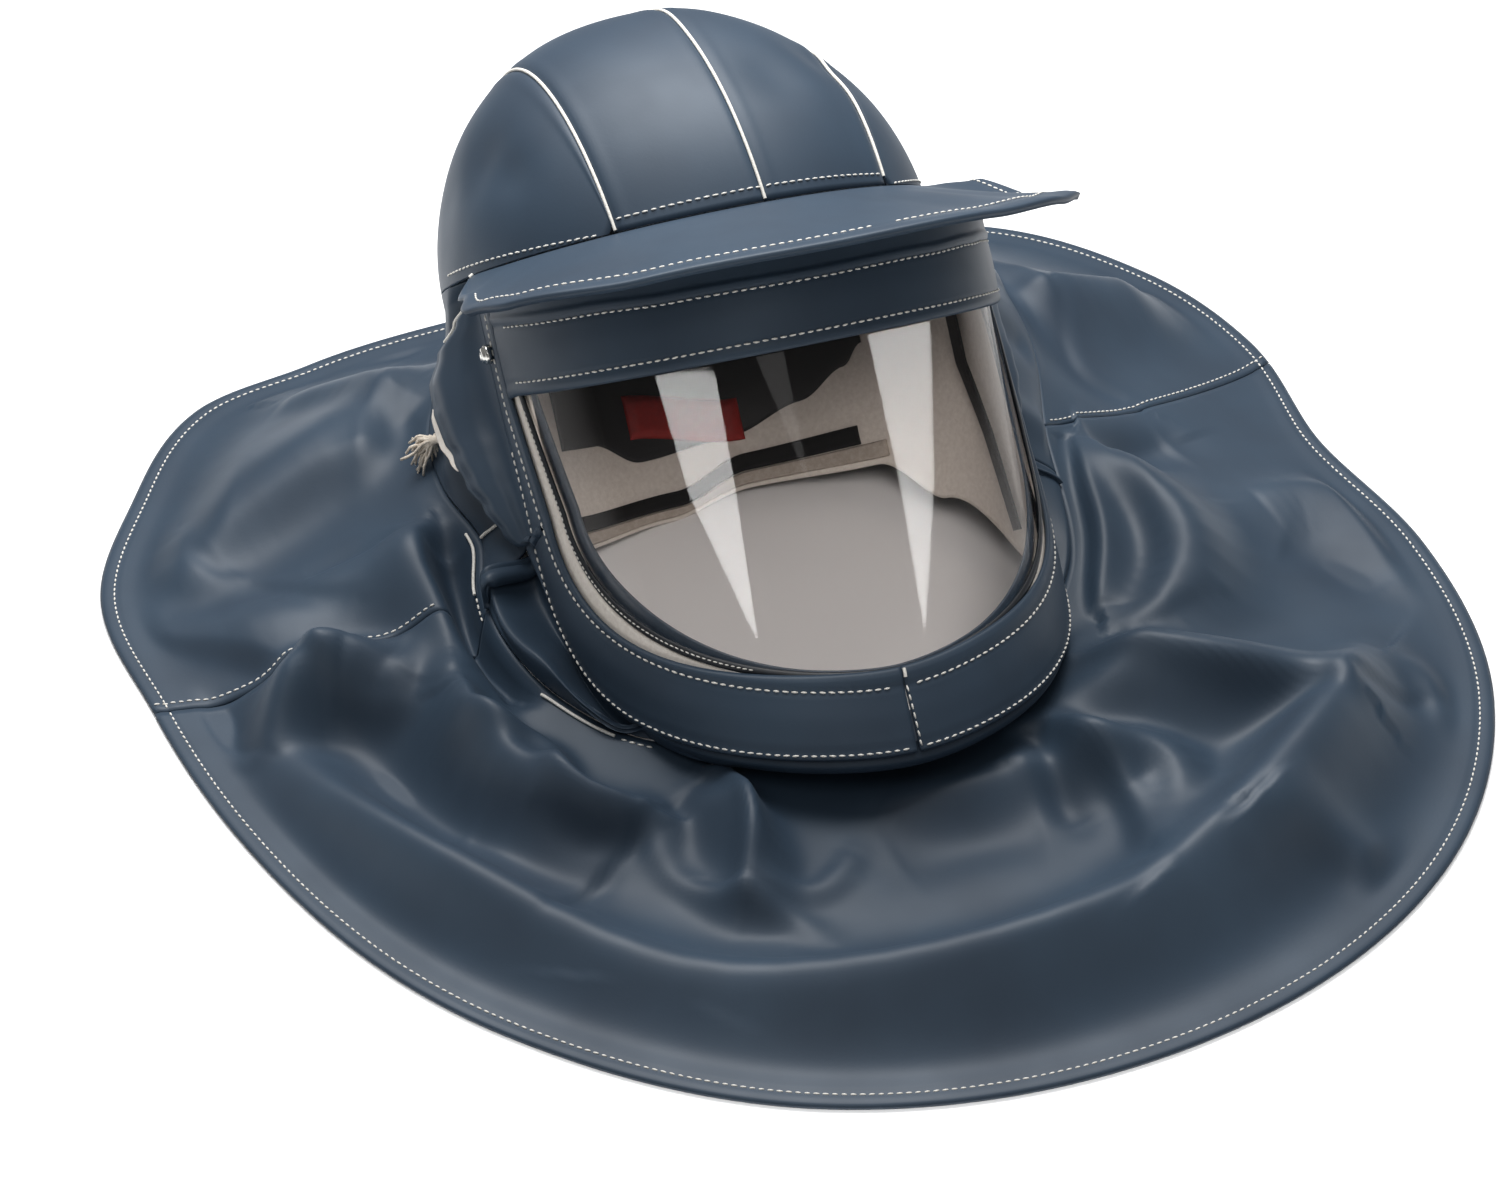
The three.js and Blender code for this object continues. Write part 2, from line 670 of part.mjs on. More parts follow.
// Half of the cape: the turned hem lies flat, and the rest is one wall that rises to the neck seam
function capeHalf({ from, to, steps }) {
  const rows = 12;
  const surface = (u, v) => capePoint(mix(from, to, u), 1 - v);
  const outer = [];
  const inner = [];
  for (let i = 0; i <= steps; i += 1) {
    const u = i / steps;
    const azimuth = mix(from, to, u);
    const flat = hemShare(azimuth);
    const edge = capePoint(azimuth, 1);
    const turned = capePoint(azimuth, flat);
    outer.push([edge, turned]);
    inner.push([edge.clone().setZ(0), turned.clone().setZ(0)]);
    for (let j = 1; j <= rows; j += 1) {
      const share = mix(flat, 0, j / rows);
      const point = capePoint(azimuth, share);
      outer[i].push(point);
      inner[i].push(point.clone().addScaledVector(outward(surface, u, 1 - share), -CLOTH));
    }
  }
  return shell(outer, inner);
}

// Reach of the leaf-shaped flap behind the frame as a share of its widest, up from its lower point
const FLAP_LINE = [
  { at: 0, reach: 0.081 },
  { at: 0.25, reach: 0.432 },
  { at: 0.5, reach: 0.865 },
  { at: 0.65, reach: 1 },
  { at: 0.8, reach: 0.865 },
  { at: 0.93, reach: 0.486 },
  { at: 1, reach: 0.135 },
];

function sideFlap(hand) {
  const surface = (u, v) => {
    const place = mix(FLAP_START, 2, v);
    const edge = grownOutline(place, frameGap(place) + frameReach(place) + 3 * LAYER);
    const side = hand * (edge.side + SEAM / 2);
    const angle = side / FACE_RADIUS;
    const turn = rad(mix(FLAP_TURN_LOW, FLAP_TURN, smooth(v)));
    const back = new THREE.Vector3(hand * Math.cos(angle), hand * Math.sin(angle), 0);
    const out = new THREE.Vector3(Math.sin(angle), -Math.cos(angle), 0);
    const reach = FLAP_REACH * along(FLAP_LINE, 'reach', v) * (hand < 0 ? 1 - u : u);
    const point = onFace(side, edge.level, FACE_RADIUS);
    return point.addScaledVector(back, reach * Math.cos(turn)).addScaledVector(out, reach * Math.sin(turn));
  };
  return sheet(surface, 3, 12, CLOTH);
}

// Domed snap on the upright of the frame
function snap(hand) {
  const radius = SNAP_DIAMETER / 2;
  const profile = [
    [0, 0],
    [1, 0],
    [1, 0.35],
    [0.8, 0.75],
    [0.45, 0.95],
    [0, 1],
  ].map(([r, h]) => new THREE.Vector2(r * radius, h * SNAP_HEIGHT));
  const geometry = new THREE.LatheGeometry(profile, 12);
  const side = hand * (BAND_END + FRAME_GAP_AT_SIDE + UPRIGHT_WIDTH / 2);
  const seat = onFace(side, SNAP_LEVEL, FACE_RADIUS + LAYER);
  const out = new THREE.Vector3(seat.x, seat.y, 0).normalize();
  geometry.applyQuaternion(new THREE.Quaternion().setFromUnitVectors(new THREE.Vector3(0, 1, 0), out));
  return geometry.translate(seat.x, seat.y, seat.z);
}

// End of the neck cord behind the right flap, from where it comes out, as shares of its reach, and its
// width as a share of the tuft's
const CORD_PATH = [
  { x: 0, y: 0, z: 0, width: 0.34 },
  { x: -0.074, y: 0.13, z: -0.146, width: 0.34 },
  { x: -0.14, y: 0.41, z: -0.322, width: 0.34 },
  { x: -0.184, y: 0.52, z: -0.408, width: 0.36 },
  { x: -0.22, y: 0.62, z: -0.476, width: 0.75 },
  { x: -0.25, y: 0.7, z: -0.536, width: 1 },
  { x: -0.27, y: 0.75, z: -0.586, width: 0.7 },
];

function cordEnd() {
  const sides = 8;
  const exit = new THREE.Vector3(CORD_X, CORD_Y, CORD_Z);
  const place = (row) => new THREE.Vector3(row.x, row.y, row.z).multiplyScalar(CORD_REACH).add(exit);
  const points = CORD_PATH.map(place);
  const curve = new THREE.CatmullRomCurve3(points);
  const frames = curve.computeFrenetFrames(points.length - 1, false);
  const across = points.map((point, k) => {
    const radius = (CORD_PATH[k].width * TUFT_DIAMETER) / 2;
    const ring = [];
    for (let i = 0; i < sides; i += 1) {
      const turn = (2 * Math.PI * i) / sides;
      const side = frames.normals[k].clone().multiplyScalar(Math.cos(turn) * radius);
      ring.push(point.clone().add(side.addScaledVector(frames.binormals[k], Math.sin(turn) * radius)));
    }
    return ring;
  });
  return rod(across);
}

// Closed body from rings of points, with flat ends
function rod(rings) {
  const sides = rings[0].length;
  const points = rings.flat().flatMap((point) => [point.x, point.y, point.z]);
  const faces = [];
  for (let k = 0; k < rings.length - 1; k += 1) {
    for (let i = 0; i < sides; i += 1) {
      const a = k * sides + i;
      const b = k * sides + ((i + 1) % sides);
      faces.push(a, b, b + sides, a, b + sides, a + sides);
    }
  }
  const last = (rings.length - 1) * sides;
  for (let i = 1; i < sides - 1; i += 1) {
    faces.push(0, i + 1, i, last, last + i, last + i + 1);
  }
  const geometry = new THREE.BufferGeometry();
  geometry.setAttribute('position', new THREE.Float32BufferAttribute(points, 3));
  geometry.setIndex(volume(points, faces) < 0 ? faces.slice().reverse() : faces);
  return geometry;
}

// Outlines of the inside pieces against the angle from the front, round behind the head.
// Their levels are shares of the drop of the inside below the level of the band's ends.
const LINING_LINE = [
  { at: 79, bottom: 1 },
  { at: 88, bottom: 0.914 },
  { at: 119, bottom: 0.629 },
  { at: 137, bottom: 0.45 },
  { at: 170, bottom: 0.429 },
  { at: 193, bottom: 0.493 },
  { at: 224, bottom: 0.536 },
  { at: 245, bottom: 0.6 },
  { at: 281, bottom: 0.843 },
];
const HARNESS_LINE = [
  { at: 134, bottom: -0 },
  { at: 140, bottom: 0.071 },
  { at: 153, bottom: 0.157 },
  { at: 172, bottom: 0.229 },
  { at: 198, bottom: 0.257 },
  { at: 211, bottom: 0.171 },
  { at: 224, bottom: 0.171 },
];
const PAD_LINE = [
  { at: 169, bottom: 0.25, top: 0.093 },
  { at: 200, bottom: 0.171, top: 0.007 },
];
const BACK_STRAP_LINE = [
  { at: 140, bottom: 0.364, top: 0.293 },
  { at: 170, bottom: 0.364, top: 0.3 },
  { at: 190, bottom: 0.443, top: 0.386 },
  { at: 223, bottom: 0.471, top: 0.414 },
];
const SWEATBAND_LINE = [
  { at: 133, bottom: 0.429 },
  { at: 170, bottom: 0.414 },
  { at: 193, bottom: 0.479 },
  { at: 223, bottom: 0.521 },
];
const INNER_STRAP_LINE = [
  { at: 0, angle: 100, level: -0.114 },
  { at: 0.3, angle: 100, level: 0.171 },
  { at: 0.6, angle: 94, level: 0.443 },
  { at: 1, angle: 89, level: 0.8 },
];

function insideLevel(rows, column, at) {
  return -INSIDE_DROP * along(rows, column, at);
}

function onInside(degrees, level, radius) {
  return new THREE.Vector3(radius * Math.sin(rad(degrees)), -radius * Math.cos(rad(degrees)), level);
}

// Strip round the inside between a lower and an upper line
function innerStrip(ends, bottom, top, radius, thickness, steps) {
  const surface = (u, v) => {
    const degrees = mix(ends[0], ends[1], u);
    return onInside(degrees, mix(bottom(degrees), top(degrees), v), radius);
  };
  return sheet(surface, steps, 1, thickness);
}

function innerStrap() {
  const halfTurn = (STRAP_WIDTH / 2 / HARNESS_RADIUS) * (180 / Math.PI);
  const surface = (u, v) => {
    const angle = along(INNER_STRAP_LINE, 'angle', 1 - v);
    const level = insideLevel(INNER_STRAP_LINE, 'level', 1 - v);
    return onInside(mix(angle - halfTurn, angle + halfTurn, u), level, HARNESS_RADIUS);
  };
  return sheet(surface, 1, 12, HARNESS_THICKNESS);
}

piece(head, 'frame_right', frameHalf(-1), 'cloth');
piece(head, 'frame_left', frameHalf(1), 'cloth');
piece(head, 'brow_band', browBand(), 'cloth');
piece(head, 'peak', peak(), 'cloth');
piece(head, 'window', windowSheet(), 'clear');
const gasketHalf = GASKET_WIDTH / 2;
const gasket = edgeStrip(() => -gasketHalf, () => gasketHalf, GASKET_RADIUS, GASKET_THICKNESS);
piece(head, 'window_gasket', gasket, 'rubber');
const rim = edgeStrip(
  () => gasketHalf + LAYER,
  (size) => frameGap(size) + FRAME_TUCK + 1,
  GASKET_RADIUS - LAYER / 2,
  RIM_THICKNESS,
);
piece(head, 'lining_rim', rim, 'lining');
piece(head, 'side_flap_right', sideFlap(-1), 'cloth');
piece(head, 'side_flap_left', sideFlap(1), 'cloth');
piece(head, 'snap_right', snap(-1), 'metal');
piece(head, 'snap_left', snap(1), 'metal');
piece(head, 'crown_side_right', crownSide(-1), 'cloth');
piece(head, 'crown_top_right', crownTop(-CROWN_SEAM_SPACING + SEAM / 2, -SEAM / 2), 'cloth');
piece(head, 'crown_top_left', crownTop(SEAM / 2, CROWN_SEAM_SPACING - SEAM / 2), 'cloth');
piece(head, 'crown_side_left', crownSide(1), 'cloth');

const level = (rows, column) => (degrees) => insideLevel(rows, column, degrees);
const flat = (value) => () => value;
const ends = (rows) => [rows[0].at, rows[rows.length - 1].at];
const lining = innerStrip(
  [LINING_FRONT, 360 - LINING_FRONT],
  level(LINING_LINE, 'bottom'),
  flat(LINING_TOP),
  LINING_RADIUS,
  LINING_THICKNESS,
  32,
);
piece(head, 'lining', lining, 'lining');
const harness = innerStrip(
  ends(HARNESS_LINE),
  level(HARNESS_LINE, 'bottom'),
  flat(HARNESS_TOP),
  HARNESS_RADIUS,
  HARNESS_THICKNESS,
  18,
);
piece(head, 'harness_band', harness, 'webbing');
const pad = innerStrip(
  ends(PAD_LINE),
  level(PAD_LINE, 'bottom'),
  level(PAD_LINE, 'top'),
  PAD_RADIUS,
  PAD_THICKNESS,
  8,
);
piece(head, 'harness_pad', pad, 'red');
const strapEnds = ends(BACK_STRAP_LINE);
const backStrap = innerStrip(
  strapEnds,
  level(BACK_STRAP_LINE, 'bottom'),
  level(BACK_STRAP_LINE, 'top'),
  HARNESS_RADIUS,
  HARNESS_THICKNESS,
  18,
);
piece(head, 'back_strap', backStrap, 'webbing');
const underStrap = (degrees) => level(BACK_STRAP_LINE, 'bottom')(Math.max(strapEnds[0], degrees)) - LAYER;
const sweatband = innerStrip(
  ends(SWEATBAND_LINE),
  level(SWEATBAND_LINE, 'bottom'),
  underStrap,
  HARNESS_RADIUS,
  HARNESS_THICKNESS,
  18,
);
piece(head, 'sweatband', sweatband, 'sweatband');
piece(head, 'inner_strap', innerStrap(), 'webbing');

piece(root, 'cord_end', cordEnd(), 'cotton');
piece(root, 'hood_back', hoodBack(), 'cloth');
piece(root, 'neck_skirt', neckSkirt(), 'cloth');
for (const half of capeHalves()) {
  piece(root, half.name, capeHalf(half), 'cloth');
}

export default root;
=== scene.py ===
# %% [markdown]
# Sandblasting hood, lying on its cape with the window tipped back.
#
# The hood is sewn from rubber-coated cloth: a domed crown in four gores, a stiff peak, a frame round a
# curved clear window, and a wide cape that has fallen into folds. Nearly every piece is a sheet that
# follows one smooth surface, so each is made the same way: a flat grid from bmesh, its corners moved
# onto the surface, and a wall thickness from a modifier. Thread, piping and snaps are added on top.

# %% Load the frame
import math

import bmesh
import bpy
from mathutils import Matrix, Vector, noise


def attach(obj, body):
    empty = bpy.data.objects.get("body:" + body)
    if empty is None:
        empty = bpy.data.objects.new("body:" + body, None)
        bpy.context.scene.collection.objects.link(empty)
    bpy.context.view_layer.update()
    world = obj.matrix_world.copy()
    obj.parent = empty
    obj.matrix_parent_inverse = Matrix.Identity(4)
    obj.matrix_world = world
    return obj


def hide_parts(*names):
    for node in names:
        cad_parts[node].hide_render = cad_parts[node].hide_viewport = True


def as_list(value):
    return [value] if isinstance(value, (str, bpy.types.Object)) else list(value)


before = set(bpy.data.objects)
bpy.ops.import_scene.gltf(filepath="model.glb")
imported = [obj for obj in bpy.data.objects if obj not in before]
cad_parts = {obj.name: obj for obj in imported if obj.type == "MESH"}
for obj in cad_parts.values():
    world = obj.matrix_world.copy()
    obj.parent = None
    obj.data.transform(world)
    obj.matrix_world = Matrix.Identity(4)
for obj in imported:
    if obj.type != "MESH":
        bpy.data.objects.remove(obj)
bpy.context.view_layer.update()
MM = 0.001
print("CAD nodes:", len(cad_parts))

# %% [markdown]
# The camera comes first, because everything is judged through it. Its place was worked out from the
# photograph: 28 degrees round to the wearer's right, 37 degrees above the table, 1.8 m away, through a
# lens of 86.4 mm on a sensor 36 mm wide.

# %% Camera
AIM = Vector((-27.5, 35.5, 0.0)) * MM
turn, rise = math.radians(-28.0), math.radians(37.0)
sight = Vector((math.sin(turn) * math.cos(rise), -math.cos(turn) * math.cos(rise), math.sin(rise)))
lens = bpy.data.cameras.new("camera")
lens.lens = 86.4
lens.sensor_width = 36.0
lens.clip_start = 0.05
lens.clip_end = 30.0
camera = bpy.data.objects.new("camera", lens)
bpy.context.collection.objects.link(camera)
camera.location = AIM + 1.8 * sight
camera.rotation_euler = (-sight).to_track_quat("-Z", "Y").to_euler()
bpy.context.scene.camera = camera
print("camera at", [round(c, 3) for c in camera.location])

# %% [markdown]
# The sizes are the same named values as in the solid model, in millimetres, so that each piece of
# cloth lies on the solid that it stands for.

# %% Sizes
CLOTH = 2.0
SEAM = 0.4
LAYER = 0.4
CAPE_WIDTH = 650.0
CAPE_DEPTH = 675.0
HEM_WIDTH = 16.0
HEM_THICKNESS = 3.2
NECK_X, NECK_Y = -15.0, 60.0
NECK_REACH = 170.0
NECK_HEIGHT = 62.0
NECK_SWING = 14.0
SHOULDER_AZIMUTH = 95.0
FOLD_HEIGHT = 36.0
FOLD_WIDTH = 40.0
FACE_RADIUS = 124.0
WINDOW_HALF_WIDTH = 158.0
WINDOW_SHOULDER = 60.0
WINDOW_DROP = 102.0
WINDOW_TOP_SPREAD = 17.0
WINDOW_CURVE = 1.72
WINDOW_THICKNESS = 1.5
GASKET_WIDTH = 7.0
GASKET_THICKNESS = 1.5
FRAME_THICKNESS = 2.4
FRAME_WIDTH = 40.0
UPRIGHT_WIDTH = 24.0
FRAME_GAP_AT_CHIN = 3.0
FRAME_GAP_AT_SIDE = 11.0
BAND_RISE = 11.0
CROWN_X, CROWN_Y, CROWN_Z = -10.0, 38.0, 45.0
CROWN_HALF_WIDTH = 123.0
CROWN_HALF_LENGTH = 118.0
CROWN_HALF_HEIGHT = 132.0
CROWN_LEAN = 14.0
CROWN_SEAM_SPACING = 70.0
JOIN_LEVEL = 62.0
PEAK_THICKNESS = 4.0
PEAK_CORNER_REACH = 128.0
PEAK_TIP_REACH = 174.0
PEAK_DROP = 32.0
HEAD = (
    Matrix.Translation((-14.0, 61.5, 127.0))
    @ Matrix.Rotation(math.radians(-7.8), 4, "Z")
    @ Matrix.Rotation(math.radians(-39.0), 4, "X")
)
BAND_END = WINDOW_HALF_WIDTH + WINDOW_TOP_SPREAD
UPRIGHT_TOP = JOIN_LEVEL - 1.4 * PEAK_THICKNESS - LAYER
GASKET_RADIUS = FACE_RADIUS - FRAME_THICKNESS - LAYER
WINDOW_RADIUS = GASKET_RADIUS - GASKET_THICKNESS - LAYER

HEM_LINE = [
    (0, 1.176), (24, 1.168), (45, 1.108), (65, 1.015), (82, 0.948), (99, 1.016), (113, 1.055),
    (130, 1.049), (150, 0.904), (180, 0.824), (205, 0.898), (217, 0.969), (233, 0.957), (247, 0.96),
    (265, 0.913), (287, 0.939), (315, 1.055), (337, 1.145),
]  # fmt: skip
NECK_LINE = [
    (0, 1.01, 0.4), (45, 0.96, 0.5), (80, 0.93, 0.8), (111, 1.22, 1), (127, 1.4, 1.08),
    (145, 1.26, 1.03), (180, 1.1, 0.95), (215, 1.03, 0.94), (247, 0.892, 0.91), (263, 0.82, 0.84),
    (272, 0.87, 0.72), (285, 0.945, 0.64), (302, 1.02, 0.52), (318, 1.06, 0.45),
]  # fmt: skip
PEAK_LINE = [
    (-90, 0.02, 0.05), (-76, 0.4, 0.4), (-63, 0.85, 0.7), (-52, 1, 0.8), (-30, 0.9, 0.95), (0, 0.8, 1),
    (30, 0.9, 0.95), (48, 1.02, 0.85), (58, 1.02, 0.75), (70, 0.5, 0.55), (83, 0.1, 0.06), (92, 0.02, 0.03),
]  # fmt: skip
print("crown width", 2 * CROWN_HALF_WIDTH, "mm, cape", CAPE_WIDTH, "by", CAPE_DEPTH, "mm")

# %% [markdown]
# A few short helpers: blends between values, and smooth curves through the rows of a table. The hem
# and the neck seam are closed curves round the neck, and the others are open.

# %% Curves through tables


def mix(a, b, share):
    return a + (b - a) * share


def smooth(share):
    s = min(1.0, max(0.0, share))
    return s * s * (3 - 2 * s)


def bump(distance, width):
    return math.exp(-((distance / width) ** 2))


def around(rows, column, azimuth):
    """Value of a column round a full turn, on a smooth closed curve."""
    count = len(rows)
    angle = azimuth % 360.0
    k = 0
    while k < count - 1 and rows[k + 1][0] <= angle:
        k += 1

    def place(i):
        return rows[i % count][0] + 360.0 * (i // count)

    def slope(i):
        return (rows[(i + 1) % count][column] - rows[(i - 1) % count][column]) / (place(i + 1) - place(i - 1))

    span = place(k + 1) - place(k)
    t = (angle - place(k)) / span
    here, there = rows[k][column], rows[(k + 1) % count][column]
    return (
        (2 * t**3 - 3 * t**2 + 1) * here
        + (t**3 - 2 * t**2 + t) * span * slope(k)
        + (-2 * t**3 + 3 * t**2) * there
        + (t**3 - t**2) * span * slope(k + 1)
    )


def along(rows, column, at):
    """Value of a column along an open line, eased between its rows."""
    k = 0
    while k < len(rows) - 2 and rows[k + 1][0] <= at:
        k += 1
    share = (at - rows[k][0]) / (rows[k + 1][0] - rows[k][0])
    return mix(rows[k][column], rows[k + 1][column], smooth(share))


print("hem reach at the front", round(CAPE_DEPTH / 2 * around(HEM_LINE, 1, 0)), "mm")

# %% [markdown]
# One function makes every sheet. A grid from bmesh gives even faces, and surface(u, v) says where each
# corner goes, with u to the right and v up as the sheet is looked at from outside. Solidify then adds
# the wall behind it. The alternative, a hand-drawn list of corners, would be longer and harder to
# change.

# %% Sheets


def finish_piece(piece, material, nodes=()):
    """Gives a piece its finish, hangs it on the root body and hides the solids that it stands for."""
    piece.data.materials.clear()
    piece.data.materials.append(material)
    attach(piece, "root")
    if nodes:
        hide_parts(*nodes)
    return piece


def link(name, shape):
    mesh = bpy.data.meshes.new(name)
    shape.to_mesh(mesh)
    shape.free()
    for face in mesh.polygons:
        face.use_smooth = True
    piece = bpy.data.objects.new(name, mesh)
    bpy.context.collection.objects.link(piece)
    return piece


def sheet_piece(name, surface, columns, rows, thickness, material, nodes=()):
    shape = bmesh.new()
    bmesh.ops.create_grid(shape, x_segments=columns, y_segments=rows, size=0.5)
    for corner in shape.verts:
        corner.co = surface(corner.co.x + 0.5, corner.co.y + 0.5) * MM
    piece = link(name, shape)
    wall = piece.modifiers.new("wall", "SOLIDIFY")
    wall.thickness = thickness * MM
    wall.offset = -1.0
    wall.use_even_offset = False
    return finish_piece(piece, material, nodes)


def outward(surface, u, v):
    """Direction out of a surface."""
    step = 0.002
    east = surface(min(1.0, u + step), v) - surface(max(0.0, u - step), v)
    north = surface(u, min(1.0, v + step)) - surface(u, max(0.0, v - step))
    return east.cross(north).normalized()


def in_head(point):
    return HEAD @ point


print("sheets are made from a grid, moved onto a surface")

# %% [markdown]
# Thread is what the eye goes to on this hood. A row of stitches follows a track on a surface: the track
# is walked at an even pitch, and each stitch is a small bead pressed a little into the cloth. Beads of
# 36 faces are enough at this size. Piping is one round cord, half sunk in the seam.

# %% Stitches and piping
STITCH_PITCH = 4.2
STITCH_LENGTH = 3.3
STITCH_WIDTH = 1.05


def walk(surface, track, pitch):
    """Places at an even pitch along a track of (u, v): point, direction along and direction out."""
    fine = []
    for (u0, v0), (u1, v1) in zip(track, track[1:]):
        for i in range(12):
            fine.append((mix(u0, u1, i / 12), mix(v0, v1, i / 12)))
    fine.append(track[-1])
    points = [surface(u, v) for u, v in fine]
    places = []
    gone, due = 0.0, 0.5 * pitch
    for k in range(len(points) - 1):
        step = points[k + 1] - points[k]
        while step.length > 0 and due <= gone + step.length:
            share = (due - gone) / step.length
            u, v = mix(fine[k][0], fine[k + 1][0], share), mix(fine[k][1], fine[k + 1][1], share)
            places.append((points[k].lerp(points[k + 1], share), step.normalized(), outward(surface, u, v)))
            due += pitch
        gone += step.length
    return places


def stitches(name, rows, material, pitch=STITCH_PITCH, length=STITCH_LENGTH, width=STITCH_WIDTH):
    """One piece with every stitch of several rows, each row given as (surface, track)."""
    shape = bmesh.new()
    count = 0
    for surface, track in rows:
        for point, forward, out in walk(surface, track, pitch):
            side = out.cross(forward).normalized()
            sway = 0.09 * math.sin(12.9 * count) + 0.05 * math.sin(5.3 * count)
            forward = (forward + sway * side).normalized()
            side = out.cross(forward).normalized()
            size = length * (1 + 0.08 * math.sin(7.7 * count))
            basis = Matrix((forward * size, side * width, out * width)).transposed().to_4x4()
            seat = Matrix.Translation((point + 0.22 * out) * MM) @ Matrix.Scale(MM, 4) @ basis
            bmesh.ops.create_uvsphere(shape, u_segments=6, v_segments=4, radius=0.5, matrix=seat)
            count += 1
    piece = link(name, shape)
    finish_piece(piece, material)
    print(name, count, "stitches")
    return piece


def piping(name, surface, track, radius, lift, material):
    """A round cord along a track, its middle lifted off the surface."""
    places = walk(surface, track, 2.0)
    curve = bpy.data.curves.new(name, "CURVE")
    curve.dimensions = "3D"
    curve.bevel_depth = radius * MM
    curve.bevel_resolution = 2
    curve.use_fill_caps = True
    spline = curve.splines.new("POLY")
    spline.points.add(len(places) - 1)
    for spot, (point, _, out) in zip(spline.points, places):
        spot.co = (*((point + lift * out) * MM), 1.0)
    piece = bpy.data.objects.new(name, curve)
    bpy.context.collection.objects.link(piece)
    return finish_piece(piece, material)


print("stitch pitch", STITCH_PITCH, "mm")
# %% [markdown]
# Finishes. The shell is smooth cloth with a satin rubber coating: dark slate blue, soft wide
# highlights, a fine grain that only just breaks them up. Colours are given as sRGB hex and turned to
# linear by one function, and one function adds any node with its settings and links.

# %% Colour and nodes


def linear(code):
    """A colour such as 43505f, turned from sRGB to linear."""
    parts = [int(code[i : i + 2], 16) / 255 for i in (0, 2, 4)]
    return (*[c / 12.92 if c <= 0.04045 else ((c + 0.055) / 1.055) ** 2.4 for c in parts], 1.0)


def add(material, kind, settings=None, **inputs):
    """Adds a node. settings are its own values, and inputs are values or sockets to link from."""
    node = material.node_tree.nodes.new(kind)
    for key, value in (settings or {}).items():
        setattr(node, key, value)
    for key, value in inputs.items():
        socket = node.inputs[key.replace("_", " ")]
        if isinstance(value, bpy.types.NodeSocket):
            material.node_tree.links.new(value, socket)
        else:
            socket.default_value = value
    return node


def new_material(name):
    material = bpy.data.materials.new(name)
    material.use_nodes = True
    material.node_tree.nodes.clear()
    return material


def show(material, shader):
    output = material.node_tree.nodes.new("ShaderNodeOutputMaterial")
    material.node_tree.links.new(shader, output.inputs["Surface"])
    return material


print("slate blue, linear:", [round(c, 3) for c in linear("43505f")[:3]])

# %% [markdown]
# Rubber-coated cloth. The coating is spread on the cloth and calendered, so it is smooth with a faint
# leather-like grain of about 1.5 mm, drawn a little coarser than it is so that it shows. Large soft
# patches, 60 mm and more across, are slightly lighter where handling has polished the coating.

# %% Coated cloth


def coated_cloth(name, low, high, roughness=0.53):
    material = new_material(name)
    place = add(material, "ShaderNodeTexCoord").outputs["Object"]
    cloud = add(material, "ShaderNodeTexNoise", Vector=place, Scale=14.0, Detail=3.0, Roughness=0.5)
    tone = add(material, "ShaderNodeValToRGB", Fac=cloud.outputs["Fac"])
    tone.color_ramp.elements[0].position = 0.3
    tone.color_ramp.elements[0].color = linear(low)
    tone.color_ramp.elements[1].position = 0.72
    tone.color_ramp.elements[1].color = linear(high)
    polish = add(
        material,
        "ShaderNodeMapRange",
        Value=cloud.outputs["Fac"],
        From_Min=0.3,
        From_Max=0.7,
        To_Min=roughness + 0.05,
        To_Max=roughness - 0.05,
    )
    grain = add(material, "ShaderNodeTexNoise", Vector=place, Scale=620.0, Detail=2.0, Roughness=0.6)
    rise = add(material, "ShaderNodeBump", Height=grain.outputs["Fac"], Strength=0.09, Distance=0.0004)
    skin = add(
        material,
        "ShaderNodeBsdfPrincipled",
        Base_Color=tone.outputs["Color"],
        Roughness=polish.outputs["Result"],
        Normal=rise.outputs["Normal"],
    )
    skin.inputs["Specular IOR Level"].default_value = 0.4
    skin.inputs["Sheen Weight"].default_value = 0.05
    skin.inputs["Sheen Roughness"].default_value = 0.4
    skin.inputs["Sheen Tint"].default_value = linear("9fb0c4")
    return show(material, skin.outputs["BSDF"])


SHELL = coated_cloth("rubber_coated_cloth", "293746", "324252")
print("coated cloth made")

# %% [markdown]
# The other finishes are simpler: cotton thread and piping, a matt woven lining, black webbing, soft
# rubber, a red foam pad and a polished nickel snap. Each keeps some unevenness at its own scale.

# %% Small finishes


def woven(name, low, high, scale, roughness, strength=0.3):
    """Matt textile with fine uneven threads."""
    material = new_material(name)
    place = add(material, "ShaderNodeTexCoord").outputs["Object"]
    thread = add(material, "ShaderNodeTexNoise", Vector=place, Scale=scale, Detail=3.0, Roughness=0.65)
    tone = add(material, "ShaderNodeValToRGB", Fac=thread.outputs["Fac"])
    tone.color_ramp.elements[0].position = 0.3
    tone.color_ramp.elements[0].color = linear(low)
    tone.color_ramp.elements[1].position = 0.7
    tone.color_ramp.elements[1].color = linear(high)
    rise = add(material, "ShaderNodeBump", Height=thread.outputs["Fac"], Strength=strength, Distance=0.0004)
    cloth = add(
        material,
        "ShaderNodeBsdfPrincipled",
        Base_Color=tone.outputs["Color"],
        Normal=rise.outputs["Normal"],
        Roughness=roughness,
    )
    return show(material, cloth.outputs["BSDF"])


